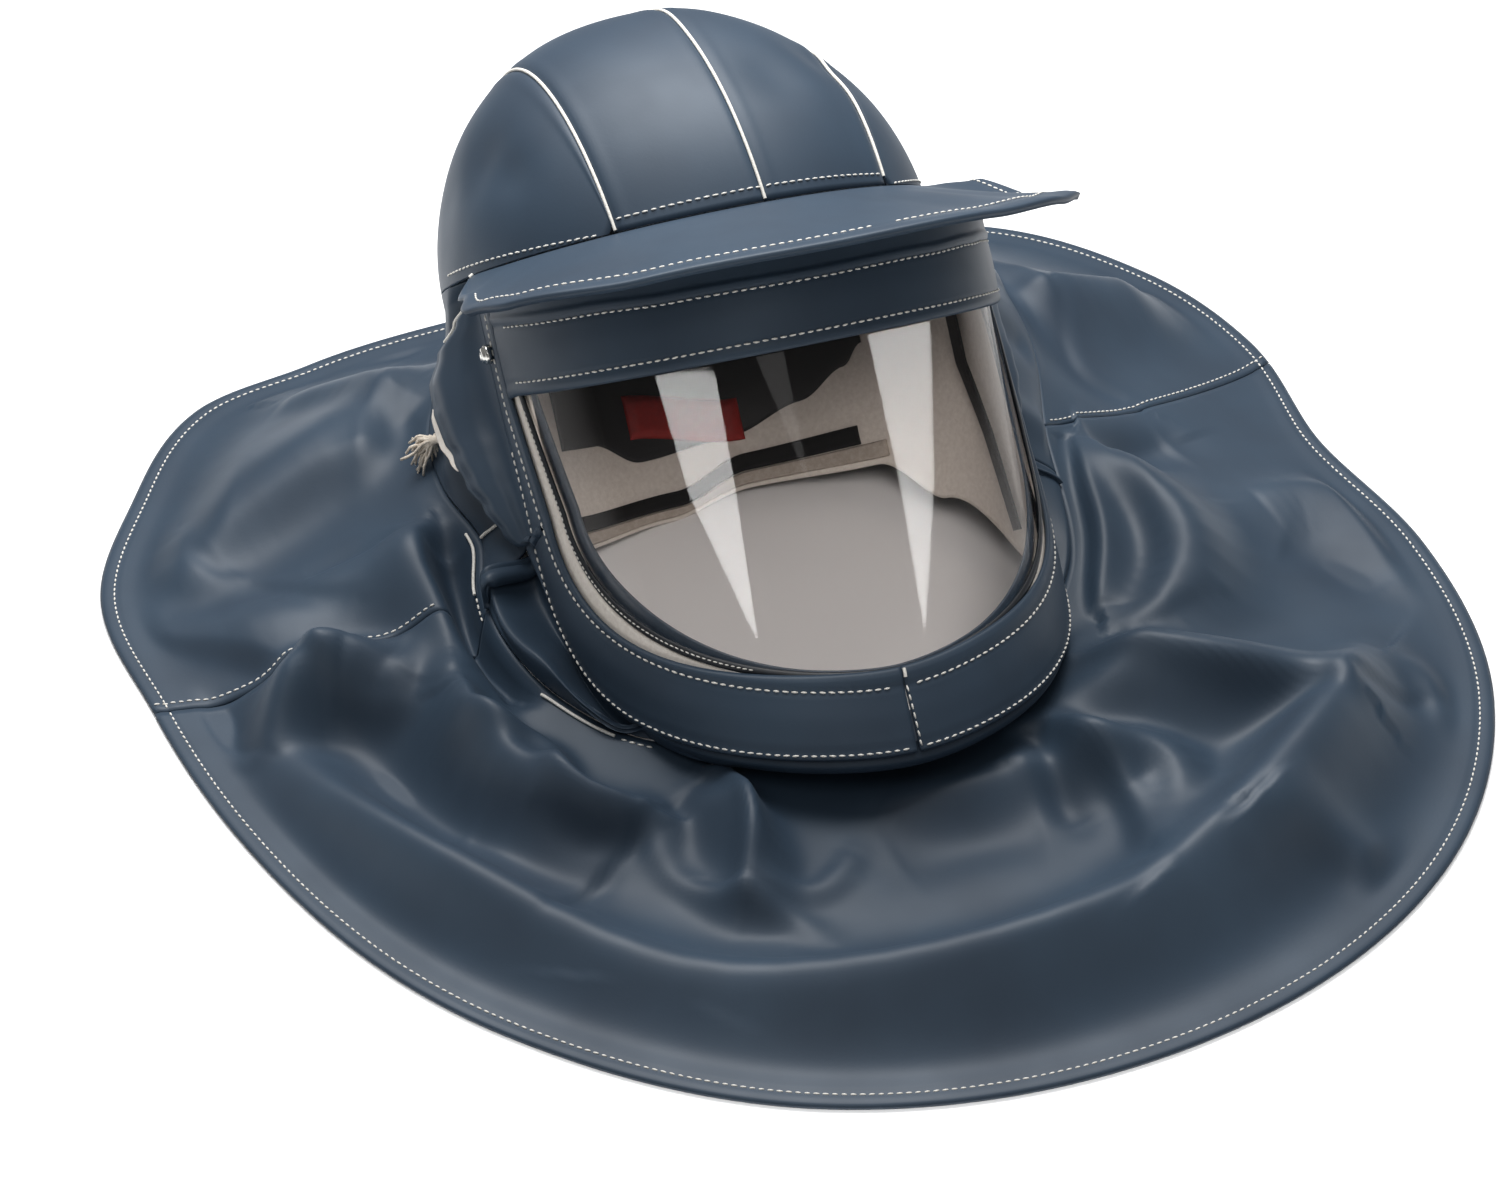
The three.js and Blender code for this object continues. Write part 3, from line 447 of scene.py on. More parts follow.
THREAD = woven("waxed_cotton_thread", "cfcbc2", "f4f1ea", 900.0, 0.6)
COTTON = woven("twisted_cotton_cord", "bdb0a0", "ece2d4", 700.0, 0.85)
LINING = woven("woven_cotton_lining", "d9d0c6", "e9e2d9", 420.0, 0.8, 0.12)
SWEATBAND = woven("padded_sweatband_cloth", "a1978c", "b9afa4", 380.0, 0.8, 0.2)
WEBBING = woven("black_webbing", "0d0d10", "15151a", 1500.0, 0.6, 0.02)
RED_FOAM = woven("red_foam_pad", "8f1410", "a81a12", 300.0, 0.6, 0.1)
RUBBER = woven("moulded_rubber", "101318", "1b2027", 260.0, 0.45, 0.1)
# The inner lip's slate blue, paler than the rubber, is a painted reflection of light in the window sheet's edge.
LIP_WITH_PAINTED_REFLECTION = woven("rubber_lip_painted_with_edge_reflection", "3a4a5b", "465768", 260.0, 0.4, 0.05)


def nickel():
    material = new_material("polished_nickel")
    place = add(material, "ShaderNodeTexCoord").outputs["Object"]
    wear = add(material, "ShaderNodeTexNoise", Vector=place, Scale=900.0, Detail=2.0)
    dull = add(material, "ShaderNodeMapRange", Value=wear.outputs["Fac"], To_Min=0.12, To_Max=0.3)
    metal = add(material, "ShaderNodeBsdfPrincipled", Base_Color=linear("d6d5d0"), Roughness=dull.outputs["Result"])
    metal.inputs["Metallic"].default_value = 1.0
    return show(material, metal.outputs["BSDF"])


NICKEL = nickel()

# %% [markdown]
# The window is clear polycarbonate sheet, 1.5 mm thick. A sheet so thin bends light hardly at all, so it
# is drawn as see-through with a mirror-like skin that grows stronger towards grazing sight, which keeps
# the inside bright and the render quiet.

# %% Clear sheet


def clear_sheet():
    material = new_material("clear_polycarbonate_sheet")
    tilt = add(material, "ShaderNodeLayerWeight", Blend=0.5)
    edge = add(material, "ShaderNodeMath", {"operation": "POWER"})
    material.node_tree.links.new(tilt.outputs["Facing"], edge.inputs[0])
    edge.inputs[1].default_value = 6.0
    gloss = add(material, "ShaderNodeMapRange", Value=edge.outputs["Value"], To_Min=0.01, To_Max=0.4)
    through = add(material, "ShaderNodeBsdfTransparent", Color=linear("f6f4f3"))
    skin = add(material, "ShaderNodeBsdfGlossy", Color=linear("ffffff"), Roughness=0.03)
    both = add(material, "ShaderNodeMixShader")
    material.node_tree.links.new(gloss.outputs["Result"], both.inputs[0])
    material.node_tree.links.new(through.outputs["BSDF"], both.inputs[1])
    material.node_tree.links.new(skin.outputs["BSDF"], both.inputs[2])
    return show(material, both.outputs["Shader"])


CLEAR = clear_sheet()
print("materials:", len(bpy.data.materials))
# %% [markdown]
# The neck cord ends behind the right flap. What shows is its last few centimetres: it comes out of the
# wall, hangs down, and its cut end has come apart into a tuft of cotton yarns. The cord is a twisted
# cotton cord 4.4 mm thick, and its centreline is a curve through listed points.

# %% Cord
CORD_PATH = [
    (-141.8, 114.8, 91.1), (-143.6, 117.3, 87.2), (-146.0, 121.5, 83.8), (-147.8, 128.4, 79.2),
    (-149.3, 135.5, 75.0), (-150.5, 138.4, 72.8), (-151.5, 141.0, 70.7), (-153.3, 146.0, 67.3),
]  # fmt: skip
CORD_DIAMETER = 4.4


def smooth_route(points, steps):
    """One smooth curve through the points, as a list of points."""
    guides = [Vector(points[0]), *(Vector(p) for p in points), Vector(points[-1])]
    route = []
    for i in range(steps * (len(points) - 1) + 1):
        k = min(i // steps, len(points) - 2)
        t = i / steps - k
        before, here, there, after = guides[k : k + 4]
        bend = (2 * before - 5 * here + 4 * there - after) * t * t + (3 * here - before - 3 * there + after) * t**3
        route.append(0.5 * (2 * here + (there - before) * t + bend))
    return route


def cord_curve(name, points, radius):
    curve = bpy.data.curves.new(name, "CURVE")
    curve.dimensions = "3D"
    curve.bevel_depth = radius * MM
    curve.bevel_resolution = 4
    curve.use_fill_caps = True
    spline = curve.splines.new("POLY")
    spline.points.add(len(points) - 1)
    for spot, point in zip(spline.points, points):
        spot.co = (*(Vector(point) * MM), 1.0)
    piece = bpy.data.objects.new(name, curve)
    bpy.context.collection.objects.link(piece)
    return piece


cord_route = smooth_route(CORD_PATH[:-1], 3)
cord = cord_curve("neck_cord", cord_route, CORD_DIAMETER / 2)
finish_piece(cord, COTTON, ["cord_end"])

# The tuft is some three dozen yarns that leave the cord together and spread, each bent its own way.
TUFT_YARNS = 36
TUFT_LENGTH = 17.0


def tuft():
    shape = bmesh.new()
    root = Vector(CORD_PATH[-3])
    forward = (Vector(CORD_PATH[-1]) - root).normalized()
    side = forward.cross(Vector((0, 0, 1))).normalized()
    over = side.cross(forward)
    for k in range(TUFT_YARNS):
        turn = 2.39996 * k
        spread = math.sqrt((k + 0.5) / TUFT_YARNS)
        out = math.cos(turn) * side + math.sin(turn) * over
        length = TUFT_LENGTH * (0.75 + 0.35 * math.sin(5.1 * k + 1.0))
        rings = []
        for i in range(7):
            t = i / 6
            bend = 0.8 * math.sin(3.3 * k) * t * t
            point = (
                root
                + forward * length * t * (1 - 0.25 * spread * t)
                + out * (CORD_DIAMETER / 2 * spread * 0.8 + 8.5 * spread * t**1.4)
                + side * bend * 5.0
                + over * (1.5 * math.sin(7 * t + 2.1 * k) * t)
                - Vector((0, 0, 7.0 * t * t))
            )
            radius = 0.95 * (1 - 0.2 * t)
            rings.append(
                [
                    shape.verts.new((point + radius * (math.cos(a) * side + math.sin(a) * over)) * MM)
                    for a in (0.0, 1.2566, 2.5133, 3.7699, 5.0265)
                ]
            )
        for lower, upper in zip(rings, rings[1:]):
            for i in range(5):
                j = (i + 1) % 5
                shape.faces.new((lower[i], lower[j], upper[j], upper[i]))
        shape.faces.new(rings[0][::-1])
        shape.faces.new(rings[-1])
    bmesh.ops.recalc_face_normals(shape, faces=shape.faces)
    return finish_piece(link("neck_cord_tuft", shape), COTTON)


cord_tuft = tuft()
cord_length = sum((b - a).length for a, b in zip(cord_route, cord_route[1:])) * MM
tuple(c * MM for c in CORD_PATH[0])  # fmt: skip
print("cord length", round(cord_length, 4), "m")
# %% [markdown]
# The face of the hood lies on one upright cylinder: window, band and frame are all bent round it. The
# outline of the window is worked out unrolled, as a distance round the cylinder and a level, and a
# wider outline for the frame is the same one moved outwards.

# %% Outline of the window


def window_outline(place):
    """Half of the window, unrolled, from 0 at the chin over 1 at the shoulder to 2 under the peak."""
    if place <= 1:
        angle = max(place, 0.0) * 0.5 * math.pi
        power = 2 / WINDOW_CURVE
        side = WINDOW_HALF_WIDTH * math.sin(angle) ** power
        return side, -WINDOW_SHOULDER - WINDOW_DROP * max(math.cos(angle), 0.0) ** power
    rise = (place - 1) * (WINDOW_SHOULDER + UPRIGHT_TOP)
    spread = min(1.0, rise / WINDOW_SHOULDER)
    return WINDOW_HALF_WIDTH + WINDOW_TOP_SPREAD * spread, rise - WINDOW_SHOULDER


def grown_outline(place, grow):
    step = 0.02
    here = window_outline(place)
    before = window_outline(max(0.0, place - step))
    after = window_outline(place + step)
    run = after[0] - before[0]
    rise = 1.0 if place > 2 - step else after[1] - before[1]
    length = math.hypot(run, rise)
    level = here[1] if place > 2 - step else here[1] - grow * run / length
    return here[0] + grow * rise / length, level


CHIN_LAP = 3.6
CHIN_SEAM = 0.3
ROW_INSET = 9.2


def on_face(side, level, radius):
    angle = side / FACE_RADIUS
    return Vector((radius * math.sin(angle), -radius * math.cos(angle), level))


def frame_gap(place):
    return mix(FRAME_GAP_AT_CHIN - CHIN_LAP, FRAME_GAP_AT_SIDE, smooth((place - 0.12) / 0.88))


def frame_reach(place):
    return mix(FRAME_WIDTH, UPRIGHT_WIDTH, smooth(place - 0.5))


def pulled_back(hand, place):
    """How far the right half of the frame lies back from the sheet, low on its side."""
    return 4.2 * bump(place - 0.62, 0.34) if hand < 0 else 0.0


def inner_row(hand, place):
    """Place of the inner stitch row across the frame, from 0 at its inner edge."""
    return (ROW_INSET - 1.2 * pulled_back(hand, place)) / frame_reach(place)


def frame_point(hand, place, across, radius):
    back = pulled_back(hand, place) * (1 - across)
    side, level = grown_outline(place, frame_gap(place) + back + across * frame_reach(place))
    return on_face(hand * (max(side, 0.0) + CHIN_SEAM / 2), level, radius)


print("window half width", WINDOW_HALF_WIDTH, "mm round the cylinder")

# %% [markdown]
# The frame is a flat band of cloth, folded over along its inner edge, where it makes a roll 8 mm wide,
# and topstitched along both edges. Thread pulls the cloth down, so each stitch row lies in a shallow
# channel with the cloth full on both sides of it.

# %% Frame
FRAME_SWELL = [
    (0.0, -1.2), (0.03, 0.1), (0.09, 0.7), (0.17, 0.5), (0.22, 0.0), (0.25, 0.0), (0.31, 0.3), (0.55, 0.6),
    (0.8, 0.4), (0.925, 0.0), (0.95, 0.0), (0.975, 0.2), (1.0, -0.8),
]  # fmt: skip
FRAME_ROW = 0.235


def frame_surface(hand):
    def surface(u, v):
        place = 2 - 2 * u if hand < 0 else 2 * u
        across = 1 - v
        row = inner_row(hand, place)
        if across < row:
            section = FRAME_ROW * across / row
        else:
            section = 1 - (1 - FRAME_ROW) * (1 - across) / (1 - row)
        wave = 0.25 * math.sin(9.0 * place + hand) * math.sin(math.pi * across)
        return in_head(frame_point(hand, place, across, FACE_RADIUS + along(FRAME_SWELL, 1, section) + wave))

    return surface


frame_cloth = {}
for hand, name in ((-1, "frame_right"), (1, "frame_left")):
    frame_cloth[hand] = frame_surface(hand)
    sheet_piece(name + "_cloth", frame_cloth[hand], 150, 40, FRAME_THICKNESS, SHELL, [name])
print("frame pieces:", 2)

# %% [markdown]
# The gasket is a soft rubber rim that grips the sheet between two lips: the outer one shows as a dark
# line. The inner one shows through the sheet as a paler band, which is a painted reflection of light in the
# sheet's edge: it is coloured a paler slate blue than rubber, and widens away from the chin. The sheet
# itself is bent to the cylinder. Behind the frame the edge of the lining shows as a pale strip.

# %% Window, gasket and rim
WINDOW_TOP = 1 + (WINDOW_SHOULDER + 4) / (WINDOW_SHOULDER + UPRIGHT_TOP)
REFLECTION_LIP_WIDTH = 5.5


def edge_strip(inner, outer, radius, swell):
    def surface(u, v):
        place = mix(-WINDOW_TOP, WINDOW_TOP, u)
        size = abs(place)
        side, level = grown_outline(size, mix(outer(size), inner(size), v))
        return in_head(on_face(math.copysign(max(side, 0.0), place), level, radius + swell(v)))

    return surface


def window_surface(u, v):
    side, level = grown_outline(mix(0.07, WINDOW_TOP, v), 0.5)
    return in_head(on_face(mix(-side, side, u), level, WINDOW_RADIUS))


gasket_half = 0.5 * GASKET_WIDTH
gasket_surface = edge_strip(
    lambda size: -0.2 * gasket_half, lambda size: gasket_half, GASKET_RADIUS, lambda v: 0.9 * math.sin(math.pi * v)
)
rim_surface = edge_strip(
    lambda size: gasket_half + LAYER, lambda size: frame_gap(size) + 8.0, GASKET_RADIUS - 0.2, lambda v: 0.0
)
# The inner lip widens away from the chin and carries the painted reflection of the sheet's edge.
reflection_lip_surface = edge_strip(
    lambda size: -1.5 - REFLECTION_LIP_WIDTH * smooth((size - 0.2) / 0.5),
    lambda size: gasket_half,
    WINDOW_RADIUS - WINDOW_THICKNESS - LAYER,
    lambda v: 0.4 * math.sin(math.pi * v),
)
sheet_piece("window_sheet", window_surface, 96, 60, WINDOW_THICKNESS, CLEAR, ["window"])
sheet_piece("window_gasket_rim", gasket_surface, 260, 8, GASKET_THICKNESS, RUBBER, ["window_gasket"])
sheet_piece("window_gasket_lip", reflection_lip_surface, 260, 6, 0.8, LIP_WITH_PAINTED_REFLECTION, [])
sheet_piece("lining_rim_strip", rim_surface, 260, 4, 1.2, LINING, ["lining_rim"])
print("window chord", round(2 * FACE_RADIUS * math.sin(BAND_END / FACE_RADIUS)), "mm")

# %% [markdown]
# The crown is an ellipsoid in four gores, with three seams from front to back. Each gore ends in a narrow
# turn-in, so the seam lies in a groove and the light breaks there. Where the cloth isn't held by the
# wearer's head it dents: a few soft dents are enough, placed where the photograph has them.

# %% Crown


def crown_rim(angle):
    """Distance from the head's axis to the crown at the level of the join."""
    share = math.sqrt(1 - ((JOIN_LEVEL - CROWN_Z) / CROWN_HALF_HEIGHT) ** 2)
    a, b = CROWN_HALF_WIDTH * share, CROWN_HALF_LENGTH * share
    dx, dy = math.sin(angle) / a, -math.cos(angle) / b
    ox, oy = -CROWN_X / a, -CROWN_Y / b
    square = dx * dx + dy * dy
    half = ox * dx + oy * dy
    return (-half + math.sqrt(half * half - square * (ox * ox + oy * oy - 1))) / square


CROWN_DENTS = [
    (-0.78, -0.32, 0.52, 0.16, 4.5), (-0.86, -0.05, 0.42, 0.2, 3.5), (-0.7, -0.5, 0.42, 0.1, 3.0),
    (0.32, -0.72, 0.6, 0.14, 2.5), (0.6, -0.45, 0.66, 0.16, 3.0), (-0.3, 0.2, 0.92, 0.25, -2.5),
    (0.15, -0.35, 0.92, 0.2, -2.0), (0.25, 0.7, 0.65, 0.25, 3.5), (-0.45, 0.75, 0.5, 0.2, 3.0),
]  # fmt: skip


def on_crown(unit):
    height = max(0.0, unit.z - (JOIN_LEVEL - CROWN_Z) / CROWN_HALF_HEIGHT)
    lean = CROWN_LEAN * height * (1 - unit.x) / 2
    point = Vector(
        (
            CROWN_X + CROWN_HALF_WIDTH * unit.x - lean,
            CROWN_Y + CROWN_HALF_LENGTH * unit.y,
            CROWN_Z + CROWN_HALF_HEIGHT * unit.z,
        )
    )
    dent = sum(deep * bump((unit - Vector((x, y, z))).length, wide) for x, y, z, wide, deep in CROWN_DENTS)
    return point - dent * unit


def crown_unit(x, share, level):
    across = (x - CROWN_X) / CROWN_HALF_WIDTH
    width = math.sqrt(1 - across * across)
    start = math.asin((level - CROWN_Z) / (width * CROWN_HALF_HEIGHT))
    angle = mix(start, math.pi - start, share)
    return Vector((across, -width * math.cos(angle), width * math.sin(angle)))


CROWN_LEVEL = JOIN_LEVEL + SEAM / 2


def turned_in(distance):
    """How far the cloth dips near a seam, at a distance in millimetres."""
    return 0.9 * bump(distance, 1.6) - 0.35 * bump(distance - 5.0, 3.0)


def crown_top(start, end):
    def surface(u, v):
        unit = crown_unit(mix(start, end, u), v, CROWN_LEVEL)
        width = end - start
        dip = turned_in(u * width) + turned_in((1 - u) * width)
        return in_head(on_crown(unit) - dip * unit)

    return surface


def crown_side(hand):
    seam = hand * (CROWN_SEAM_SPACING + SEAM / 2)

    def surface(u, v):
        share = mix(0.012, 0.988, 1 - u if hand < 0 else u)
        high = crown_unit(seam, share, CROWN_LEVEL)
        ends = [crown_unit(seam, 0, CROWN_LEVEL), crown_unit(seam, 1, CROWN_LEVEL)]
        turns = [math.atan2(hand * unit.x, -unit.y) for unit in ends]
        angle = mix(turns[0], turns[1], share)
        flat = math.hypot(ends[0].x, ends[0].y)
        low = Vector((hand * flat * math.sin(angle), -flat * math.cos(angle), ends[0].z))
        unit = low.lerp(high, v).normalized()
        dip = turned_in((1 - v) * 80.0)
        return in_head(on_crown(unit) - dip * unit)

    return surface


CROWN_PIECES = {
    "crown_side_right": crown_side(-1),
    "crown_top_right": crown_top(-CROWN_SEAM_SPACING + SEAM / 2, -SEAM / 2),
    "crown_top_left": crown_top(SEAM / 2, CROWN_SEAM_SPACING - SEAM / 2),
    "crown_side_left": crown_side(1),
}
for name, surface in CROWN_PIECES.items():
    sheet_piece(name + "_cloth", surface, 60, 120, CLOTH, SHELL, [name])
print("gores:", len(CROWN_PIECES))

# %% [markdown]
# The peak is two layers of cloth over a stiffener, 4 mm thick, with its edge rolled. A closed body with
# a rounded edge is made from a grid for the top, and the wall modifier gives the underside.

# %% Peak


def peak_edge(degrees):
    reach = along(PEAK_LINE, 1, degrees)
    drop = along(PEAK_LINE, 2, degrees)
    return mix(PEAK_CORNER_REACH, PEAK_TIP_REACH, reach), JOIN_LEVEL - PEAK_DROP * drop


def peak_point(degrees, share):
    angle = math.radians(degrees)
    radius, low = peak_edge(degrees)
    inner = min(crown_rim(angle) + LAYER, radius - 2)
    reach = mix(radius, inner, share)
    level = mix(low, JOIN_LEVEL, smooth(0.5 * share) * 1.2 + 0.4 * share)
    return Vector((reach * math.sin(angle), -reach * math.cos(angle), level))


PEAK_SWELL = [
    (0.0, -1.6), (0.03, -0.3), (0.08, 0.3), (0.13, 0.2), (0.17, 0.0), (0.2, 0.0), (0.26, 0.1), (0.6, 0.5),
    (0.94, 0.1), (1.0, -0.6),
]  # fmt: skip


def peak_surface(u, v):
    point = peak_point(mix(PEAK_LINE[0][0], PEAK_LINE[-1][0], u), v)
    point.z += along(PEAK_SWELL, 1, v)
    return in_head(point)


sheet_piece("peak_cloth", peak_surface, 180, 44, PEAK_THICKNESS - 0.6, SHELL, ["peak"])
print("peak reach", PEAK_TIP_REACH, "mm")

# %% [markdown]
# The band between peak and window is a folded strip with a topstitched hem along its lower edge and a
# second row under the fold near the top.

# %% Brow band


def under_peak(angle):
    degrees = math.degrees(angle)
    radius = peak_edge(degrees)[0]
    share = min(1.0, max(0.0, (radius - FACE_RADIUS) / (radius - crown_rim(angle))))
    return peak_point(degrees, share).z - 1.4 * PEAK_THICKNESS - LAYER


BAND_SWELL = [
    (0.0, -1.0), (0.02, 0.1), (0.06, 0.5), (0.095, 0.3), (0.115, 0.0), (0.13, 0.0), (0.17, 0.25), (0.4, 0.5),
    (0.6, 0.3), (0.62, 0.0), (0.64, 0.0), (0.67, 0.7), (0.71, 1.0), (0.75, 0.2), (1.0, 0.4),
]  # fmt: skip
BAND_HALF = BAND_END + FRAME_GAP_AT_SIDE - SEAM


def band_surface(u, v):
    side = mix(-BAND_HALF, BAND_HALF, u)
    share = min(1.0, abs(side) / BAND_END)
    bottom = -BAND_RISE * (1 - share * share)
    top = min(under_peak(side / FACE_RADIUS), UPRIGHT_TOP)
    return in_head(on_face(side, mix(bottom, top, v), FACE_RADIUS + along(BAND_SWELL, 1, v)))


sheet_piece("brow_band_cloth", band_surface, 170, 56, FRAME_THICKNESS, SHELL, ["brow_band"])
print("band length", round(2 * BAND_HALF), "mm")

# %% [markdown]
# Behind each upright of the frame hangs a leaf-shaped flap. It stands off the wall below the crown, with
# a slight curl along its free edge.

# %% Side flaps
FLAP_START = 0.86
FLAP_REACH = 37.0
FLAP_TURN = 40.0
FLAP_TURN_LOW = 66.0
FLAP_LINE = [
    (0, 0.02), (0.1, 0.14), (0.2, 0.42), (0.3, 0.62), (0.4, 0.84), (0.5, 1.0), (0.62, 1.3), (0.72, 1.37),
    (0.82, 1.14), (0.91, 0.62), (0.96, 0.3), (1, 0.1),
]  # fmt: skip


def flap_surface(hand):
    def surface(u, v):
        place = mix(FLAP_START, 2.0, v)
        side, level = grown_outline(place, frame_gap(place) + frame_reach(place) - 0.5)
        side = hand * (side + SEAM / 2)
        angle = side / FACE_RADIUS
        share = 1 - u if hand < 0 else u
        turn = math.radians(mix(FLAP_TURN_LOW, FLAP_TURN, smooth(v))) * mix(0.7, 1.0, smooth(v / 0.25))
        back = Vector((hand * math.cos(angle), hand * math.sin(angle), 0))
        out = Vector((math.sin(angle), -math.cos(angle), 0))
        length = FLAP_REACH * along(FLAP_LINE, 1, v)
        # The leaf leaves the frame level with it and bends out within its first third.
        bend = mix(0.35 * turn, 1.05 * turn, smooth(share / 0.4)) - 0.25 * smooth((share - 0.6) / 0.4)
        lift = length * share * math.sin(bend)
        run = length * share * math.cos(bend)
        point = on_face(side, level, FACE_RADIUS + 0.2)
        return in_head(point + run * back + lift * out)

    return surface


flap_cloth = {}
for hand, name in ((-1, "side_flap_right"), (1, "side_flap_left")):
    flap_cloth[hand] = flap_surface(hand)
    sheet_piece(name + "_cloth", flap_cloth[hand], 24, 70, CLOTH, SHELL, [name])
print("flap reach", FLAP_REACH, "mm")

# %% Backing of the flap
# Where the cord comes out, the pale backing of the right flap shows past its edge.
BACKING_WIDTH = 5.0


def backing_surface(u, v):
    place = mix(0.46, 0.64, v)
    edge = flap_cloth[-1](0.0, place)
    away = (edge - flap_cloth[-1](0.06, place)).normalized()
    width = BACKING_WIDTH * math.sin(math.pi * mix(0.04, 0.96, v))
    return edge + mix(-1.6, width, 1 - u) * away - Vector((0, 0, 0.9))


sheet_piece("side_flap_backing", backing_surface, 8, 30, 0.6, LINING, ["side_flap_right"])
print("backing width", BACKING_WIDTH, "mm")

# %% [markdown]
# A snap is a domed cap on a thin collar. Spin turns its half outline into the cap.

# %% Snaps
SNAP_RADIUS = 4.75
SNAP_OUTLINE = [
    (0.0, 2.2), (1.4, 2.3), (2.2, 2.6), (3.0, 2.5), (3.7, 1.9), (4.0, 1.2), (4.3, 0.9), (4.75, 0.7), (4.75, -2.0),
    (0.0, -2.0),
]  # fmt: skip


def snap(name, hand, node):
    side = hand * (BAND_END + FRAME_GAP_AT_SIDE + UPRIGHT_WIDTH / 2)
    seat = on_face(side, 24.0, FACE_RADIUS + LAYER + 2.9)
    out = Vector((seat.x, seat.y, 0)).normalized()
    lay = HEAD @ Matrix.Translation(seat) @ out.to_track_quat("Z", "Y").to_matrix().to_4x4()
    shape = bmesh.new()
    corners = [shape.verts.new((r, 0, h)) for r, h in SNAP_OUTLINE]
    edges = [shape.edges.new(pair) for pair in zip(corners, corners[1:])]
    bmesh.ops.spin(
        shape, geom=corners + edges, cent=(0, 0, 0), axis=(0, 0, 1), angle=math.tau, steps=32, use_merge=True
    )
    bmesh.ops.remove_doubles(shape, verts=shape.verts, dist=0.001)
    bmesh.ops.recalc_face_normals(shape, faces=shape.faces)
    bmesh.ops.transform(shape, matrix=Matrix.Scale(MM, 4) @ lay, verts=shape.verts)
    return finish_piece(link(name, shape), NICKEL, [node])


snap("snap_right_cap", -1, "snap_right")
snap("snap_left_cap", 1, "snap_left")
print("snap diameter", 2 * SNAP_RADIUS, "mm")
# %% [markdown]
# The wall of the hood hangs from the crown and the frame down to the neck seam. It is soft cloth with
# more length than it needs, so it falls in slack folds: a few long ones at the nape, and a bunch of
# short ones beside the chin, where the photograph shows them.

# %% Wall
FRAME_TUCK = 5.0
WALL_TURN = 0.6
SKIRT_END = 0.33
WALL_CLEAR = 3.0
WALL_TUCKED = 0.2


def wall_top(q, beyond):
    hand = -1 if q < 0 else 1
    size = abs(q)
    radius = GASKET_RADIUS - LAYER
    if size <= WALL_TURN:
        place = 2 * size / WALL_TURN
        return in_head(frame_point(hand, place, 1 + beyond / frame_reach(place), radius))
    side = BAND_END + FRAME_GAP_AT_SIDE + UPRIGHT_WIDTH + beyond + SEAM / 2
    start = side / FACE_RADIUS
    angle = mix(start, math.pi, (size - WALL_TURN) / (1 - WALL_TURN))
    settle = smooth((angle - start) / math.radians(9))
    reach = mix(radius, crown_rim(hand * angle), settle)
    under = JOIN_LEVEL - SEAM - settle * (beyond + FRAME_TUCK)
    drop = math.radians(3 if hand < 0 else 6)
    level = mix(UPRIGHT_TOP, under, smooth((angle - start) / drop))
    return in_head(Vector((hand * reach * math.sin(angle), -reach * math.cos(angle), level)))


def neck_point(azimuth):
    reach = NECK_REACH * around(NECK_LINE, 1, azimuth)
    height = NECK_HEIGHT * around(NECK_LINE, 2, azimuth)
    angle = math.radians(azimuth)
    return Vector((NECK_X + reach * math.sin(angle), NECK_Y - reach * math.cos(angle), height))


def wall_point(q, down):
    if down <= WALL_TUCKED:
        return wall_top(q, mix(-FRAME_TUCK, WALL_CLEAR, down / WALL_TUCKED))
    top = wall_top(q, WALL_CLEAR)
    azimuth = math.degrees(math.atan2(top.x - NECK_X, NECK_Y - top.y))
    foot = neck_point(azimuth)
    foot.z += 2 * SEAM
    out = Vector((foot.x - NECK_X, foot.y - NECK_Y, 0)).normalized()
    span = (top - foot).length
    upper = top - Vector((0, 0, 0.35 * span))
    lower = foot - 0.1 * span * out + Vector((0, 0, 0.2 * span))
    t = (down - WALL_TUCKED) / (1 - WALL_TUCKED)
    s = 1 - t
    return s**3 * top + 3 * s * s * t * upper + 3 * s * t * t * lower + t**3 * foot


# Each fold of the wall: place round the wall at its top and at its foot, how far down it starts, its
# width round the wall and its depth in millimetres, out of the wall if positive.
WALL_FOLDS = [
    (-0.12, -0.1, 0.25, 0.018, 4.0), (-0.19, -0.15, 0.2, 0.02, -5.0), (-0.235, -0.22, 0.25, 0.02, 5.5),
    (-0.3, -0.27, 0.3, 0.022, -5.0), (-0.35, -0.34, 0.3, 0.028, 5.0), (0.08, 0.1, 0.3, 0.02, 3.0),
    (0.17, 0.14, 0.3, 0.025, -3.5), (0.25, 0.24, 0.3, 0.03, 4.0), (0.42, 0.4, 0.3, 0.03, 4.0),
    (0.55, 0.52, 0.3, 0.03, -4.0), (0.63, 0.66, 0.35, 0.03, 5.0), (0.78, 0.74, 0.3, 0.035, -5.0),
    (0.87, 0.86, 0.3, 0.035, 5.5), (0.95, 0.98, 0.25, 0.03, -4.0), (1.06, 1.05, 0.3, 0.035, 5.5),
    (1.15, 1.17, 0.3, 0.03, -4.5), (1.25, 1.26, 0.25, 0.035, 5.0), (1.38, 1.35, 0.25, 0.03, -3.5),
    (1.48, 1.47, 0.3, 0.035, 4.0),
]  # fmt: skip


# The roll beside the frame: place round the wall, how far down it lies and how far it stands out.
SKIRT_ROLL = [
    (-0.5, 0.72, 0.0), (-0.46, 0.72, 2.0), (-0.41, 0.74, 8.0), (-0.36, 0.76, 12.0), (-0.28, 0.78, 14.0),
    (-0.19, 0.76, 13.0), (-0.1, 0.7, 8.0), (0.0, 0.72, 0.0),
]  # fmt: skip


def skirt_roll(q, down):
    if not SKIRT_ROLL[0][0] < q < SKIRT_ROLL[-1][0]:
        return 0.0
    middle, height = along(SKIRT_ROLL, 1, q), along(SKIRT_ROLL, 2, q)
    return height * (bump(down - middle, 0.15) - 0.5 * bump(down - middle + 0.3, 0.12))


def wall_slack(q, down):
    """How far the wall stands out of its smooth shape."""
    rise = 0.0
    for top, foot, start, width, deep in WALL_FOLDS:
        middle = mix(top, foot, down)
        distance = abs(q - middle)
        if distance < 3 * width:
            rise += deep * bump(distance, width) * smooth((down - start) / 0.35) * smooth((1.0 - down) / 0.16)
    return rise


